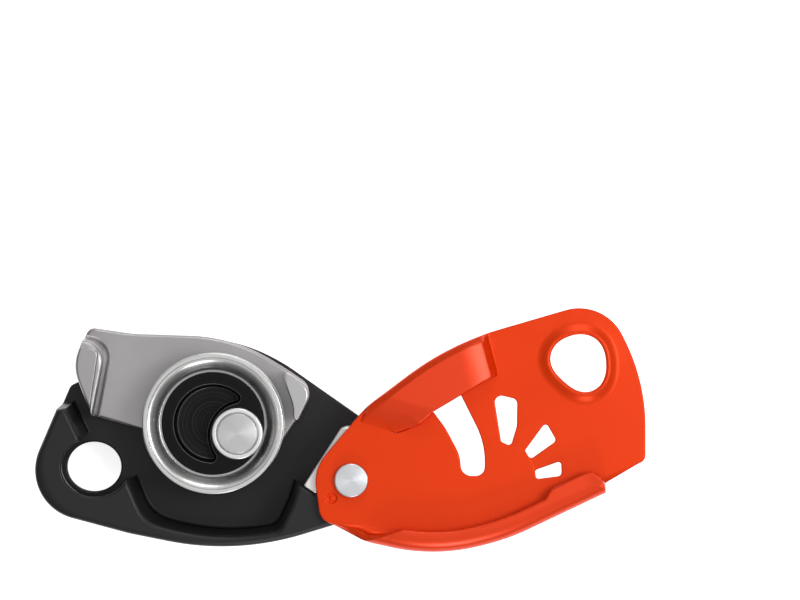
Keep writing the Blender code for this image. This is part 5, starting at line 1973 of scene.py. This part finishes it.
    def build_rivet(self) -> None:
        """Makes the rivet that the plate turns on."""
        low, top = drawing.span("plate_rivet")
        end, head = self.rivet_ends
        section = headed_pin((low, low + end, top - head, top), self.rivet, (0.75, 0.38))
        rivet = Bench.turned("rivet_pin", section, drawing.pivot, 140)
        Bench.finish(rivet, "frame_body", RIVET_STEEL, "plate_rivet")

    def build(self) -> None:
        """Makes the plate and its rivet."""
        self.build_sheet()
        self.build_rivet()


@dataclass
class Handle:
    """The release handle folded against the frame's back.

    Attributes:
        angle: Where it points, folded, in degrees.
        length: From the axle to its tip.
        width: The width of its arm.
        hub: The radius of its round end.
        bore: The radius of the room for its spring.
        rivets: How far along it its two rivets stand.
        rivet_hole: Their holes' radius.
        rivet_room: The radius and the depth of the room for a rivet's end.
        ribs, rib_pitch, rib_wide: How many grooves its tip has, how far apart, and how wide they are.
        link, link_bore: The radii of the link's disc and of its bore.
        strap_long, strap_half: How far the link's strap reaches, and half its width.
    """

    angle: float = -8.0
    length: float = 52.0
    width: float = 11.5
    hub: float = 11.0
    bore: float = 8.2
    rivets: tuple[float, float] = (13.2, 20.6)
    rivet_hole: float = 1.6
    rivet_room: tuple[float, float] = (2.5, 1.4)
    ribs: int = 4
    rib_pitch: float = 2.6
    rib_wide: float = 1.1
    link: float = 8.0
    link_bore: float = 3.1
    strap_long: float = 24.0
    strap_half: float = 4.5

    def line(self, along: float, beside_it: float) -> Point:
        """A point of the folded handle: how far out, and how far to its left.

        Args:
            along: How far from the axle.
            beside_it: How far to the left of its middle line.

        Returns:
            The point in plan.
        """
        turn = math.radians(self.angle)
        way = (math.cos(turn), math.sin(turn))
        return (way[0] * along - way[1] * beside_it, way[1] * along + way[0] * beside_it)

    def shape(self, corners: Sequence[Corner]) -> Outline:
        """An outline through (how far out, how far left, fillet) corners."""
        return Outline([(*self.line(along, left), fillet) for along, left, fillet in corners])

    def build_grip(self) -> None:
        """Makes the moulded grip."""
        low, top = drawing.span("handle_grip")
        half, tip = self.width / 2.0, self.length
        disc = Round(AXLE, self.hub, count=140)
        grip = Bench.loft("grip_moulding", disc, round_edges(low, top, 0.9, 0.7))
        right = [(2.0, -half, 0.0), (24.0, -half + 1.4, 14.0), (tip, -half - 1.4, 5.0)]
        arm = self.shape([*right, (tip, half, 4.6), (26.0, half - 1.0, 16.0), (2.0, half + 1.5, 0.0)])
        Bench.join(grip, Bench.loft("arm", arm, round_edges(low + 0.02, top - 0.02, 1.0, 0.8)))
        Bench.drill(grip, AXLE, self.bore, low, top)
        sides = [(low - OVER, 0.9), (low, 0.3), (low + 0.15, 0.1), (low + 0.6, 0.0)]
        for k in range(self.ribs):
            far = tip - 6.0 - self.rib_pitch * k
            near = far + self.rib_wide
            groove = self.shape([(far, -3.6, 0.4), (near, -3.6, 0.4), (near, 2.9, 0.4), (far, 2.9, 0.4)])
            Bench.cut(grip, Bench.loft("rib_gap", groove, sides))
        radius, deep = self.rivet_room
        for along in self.rivets:
            place = self.line(along, 0.0)
            Bench.drill(grip, place, self.rivet_hole, low, top)
            Bench.cut(grip, Bench.bore(place, radius, low - OVER, low + deep))
        Bench.finish(grip, "handle", NYLON, "handle_grip")

    def build_link(self) -> None:
        """Makes the stamped steel link."""
        low, top = drawing.span("handle_link")
        disc = Round(AXLE, self.link, count=120)
        link = Bench.loft("link_stamping", disc, round_edges(low, top, 0.15, 0.3, 3))
        far, half = self.strap_long, self.strap_half
        strap = self.shape([(1.0, -half, 0.0), (far, -half, 4.0), (far, half, 4.0), (1.0, half, 0.0)])
        Bench.join(link, Bench.loft("strap", strap, round_edges(low + 0.02, top - 0.02, 0.15, 0.3, 3)))
        Bench.drill(link, AXLE, self.link_bore, low, top)
        for along in self.rivets:
            Bench.drill(link, self.line(along, 0.0), self.rivet_hole, low, top)
        Bench.finish(link, "handle", LINK_STEEL, "handle_link")

    def build_cap(self) -> None:
        """Makes the cap that closes the room for the spring."""
        low, top = drawing.span("handle_cap")
        reach = self.bore - GAP
        foot = [(0.0, low, 0.0), (7.0, low, 0.3), (reach, low + 0.25, 0.3)]
        cap = Bench.turned("cap_disc", Outline([*foot, (reach, top, 0.1), (0.0, top, 0.0)]), AXLE, 120)
        Bench.finish(cap, "handle", NYLON, "handle_cap")

    def build(self) -> None:
        """Makes the grip, the steel link and the cap."""
        self.build_grip()
        self.build_link()
        self.build_cap()


class Hardware:
    """The small pieces whose frame shapes are right and only need their finish."""

    FINISHES: dict[Finish, tuple[str, ...]] = {
        PLAIN_STEEL: (
            *("shoe_pin_a", "shoe_pin_b", "axle_back_washer", "drive_pin"),
            *("hub_dowel_a", "hub_dowel_b", "grip_rivet_a", "grip_rivet_b"),
        ),
        SPRING_STEEL: ("cam_spring", "handle_spring"),
        BRONZE: ("cam_thrust_washer", "cam_bush", "wheel_bush", "plate_bush"),
        ACETAL: ("wheel_washer", "pivot_washer"),
    }

    @classmethod
    def dress(cls) -> None:
        """Gives each node its finish."""
        for finish, names in cls.FINISHES.items():
            for name in names:
                materials = frame["nodes"][name].data.materials
                materials.clear()
                materials.append(finish.material())
                log.info("%s: finish %s", name, finish.name)


class Lamp(Enum):
    """The studio's lamps: (place in metres from the object, size in metres, power in watts)."""

    KEY = ((0.42, 0.06, 0.8), 0.3, 2.3)
    FRONT = ((0.12, -0.85, 0.5), 0.24, 2.2)
    FILL = ((0.1, 0.8, 0.6), 0.5, 2.2)


@dataclass
class Studio:
    """The floor, the light and the camera.

    Attributes:
        pixel: How much one pixel of the photograph spans, in millimetres.
        axle_pixel: Where the cam axle stands in the photograph.
        size: The photograph's width and height.
        sharp_height: The height at which the scale holds, in millimetres.
        away: How far the camera is, in metres.
        walls, ceiling: The room's light at the sides and straight above.
        dim: How much darker the room is on the left.
        sensor: The width of the camera's sensor, in millimetres.
        floor_half: Half the floor's width, in metres.
        drop: How far the floor lies under the device, in metres.
    """

    pixel: float = 0.26
    axle_pixel: Point = (237.1, 433.7)
    size: tuple[int, int] = (800, 600)
    sharp_height: float = 30.0
    away: float = 1.2
    walls: Colour = (0.08, 0.08, 0.082)
    ceiling: Colour = (0.95, 0.95, 0.95)
    dim: float = 0.6
    sensor: float = 36.0
    floor_half: float = 3.0
    drop: float = 0.0002

    def camera(self) -> None:
        """Stands the camera straight over the middle of the photograph."""
        made = add_object("camera", bpy.data.cameras.new("camera"))
        x = (self.size[0] / 2.0 - self.axle_pixel[0]) * self.pixel * MM + drawing.axle.x
        y = (self.axle_pixel[1] - self.size[1] / 2.0) * self.pixel * MM + drawing.axle.y
        made.location = (x, y, self.sharp_height * MM + self.away)
        made.data.sensor_width = self.sensor
        made.data.lens = self.sensor * self.away / (self.size[0] * self.pixel * MM)
        made.data.clip_start = 0.05
        made.data.clip_end = 20.0
        bpy.context.scene.camera = made

    def floor(self) -> None:
        """Lays a pale floor that shows white and keeps the shadow."""
        half = self.floor_half
        data = bpy.data.meshes.new("floor")
        corners = [(-half, -half, 0.0), (half, -half, 0.0), (half, half, 0.0), (-half, half, 0.0)]
        data.from_pydata(corners, [], [(0, 1, 2, 3)])
        made = add_object("floor", data)
        made.location.z = -self.drop
        graph = Graph(bpy.data.materials.new("floor_paper"))
        rays = ("Is Camera Ray", "Is Glossy Ray", "Is Transmission Ray")
        seen, mirrored, through = (graph.node("ShaderNodeLightPath", {}, {}, ray) for ray in rays)
        graph.set(
            base_color=(0.86, 0.86, 0.86),
            roughness=0.9,
            specular_ior_level=0.0,
            emission_color=graph.mix((seen + mirrored + through).clamp(), (0.0, 0.0, 0.0), (1.0, 1.0, 1.0)),
            emission_strength=0.78,
        )
        data.materials.append(graph.owner)

    def lights(self) -> None:
        """Hangs the lamps and sets the room's even light."""
        for lamp in Lamp:
            place, size, power = lamp.value
            light = bpy.data.lights.new(lamp.name.lower(), "AREA")
            made = add_object(lamp.name.lower() + "_lamp", light)
            made.data.shape = "DISK"
            made.data.size = size
            made.data.energy = power
            made.location = place
            made.rotation_euler = Vector(place).to_track_quat("Z", "Y").to_euler()
        graph = Graph(bpy.data.worlds.new("studio"), "Background")
        way = graph.node("ShaderNodeTexCoord", {}, {}, "Generated")
        up = graph.axis(way, "Z").clamp().math("POWER", 1.4)
        side = (graph.axis(way, "X") * self.dim + 1.0).clamp()
        graph.set(color=graph.mix(up * side, self.walls, self.ceiling), strength=1.0)
        bpy.context.scene.world = graph.owner
        bpy.context.scene.view_settings.view_transform = "Standard"

    def build(self) -> None:
        """Sets up the whole studio."""
        self.camera()
        self.floor()
        self.lights()


def main() -> None:
    """Builds the device's visible pieces and the studio round them."""
    logging.basicConfig(level=logging.INFO, format="%(message)s")
    Studio().build()
    FrameSide().build()
    CamSide().build()
    WheelSide().build()
    PressedPlate().build()
    Handle().build()
    Hardware.dress()


if __name__ == "__main__":
    main()
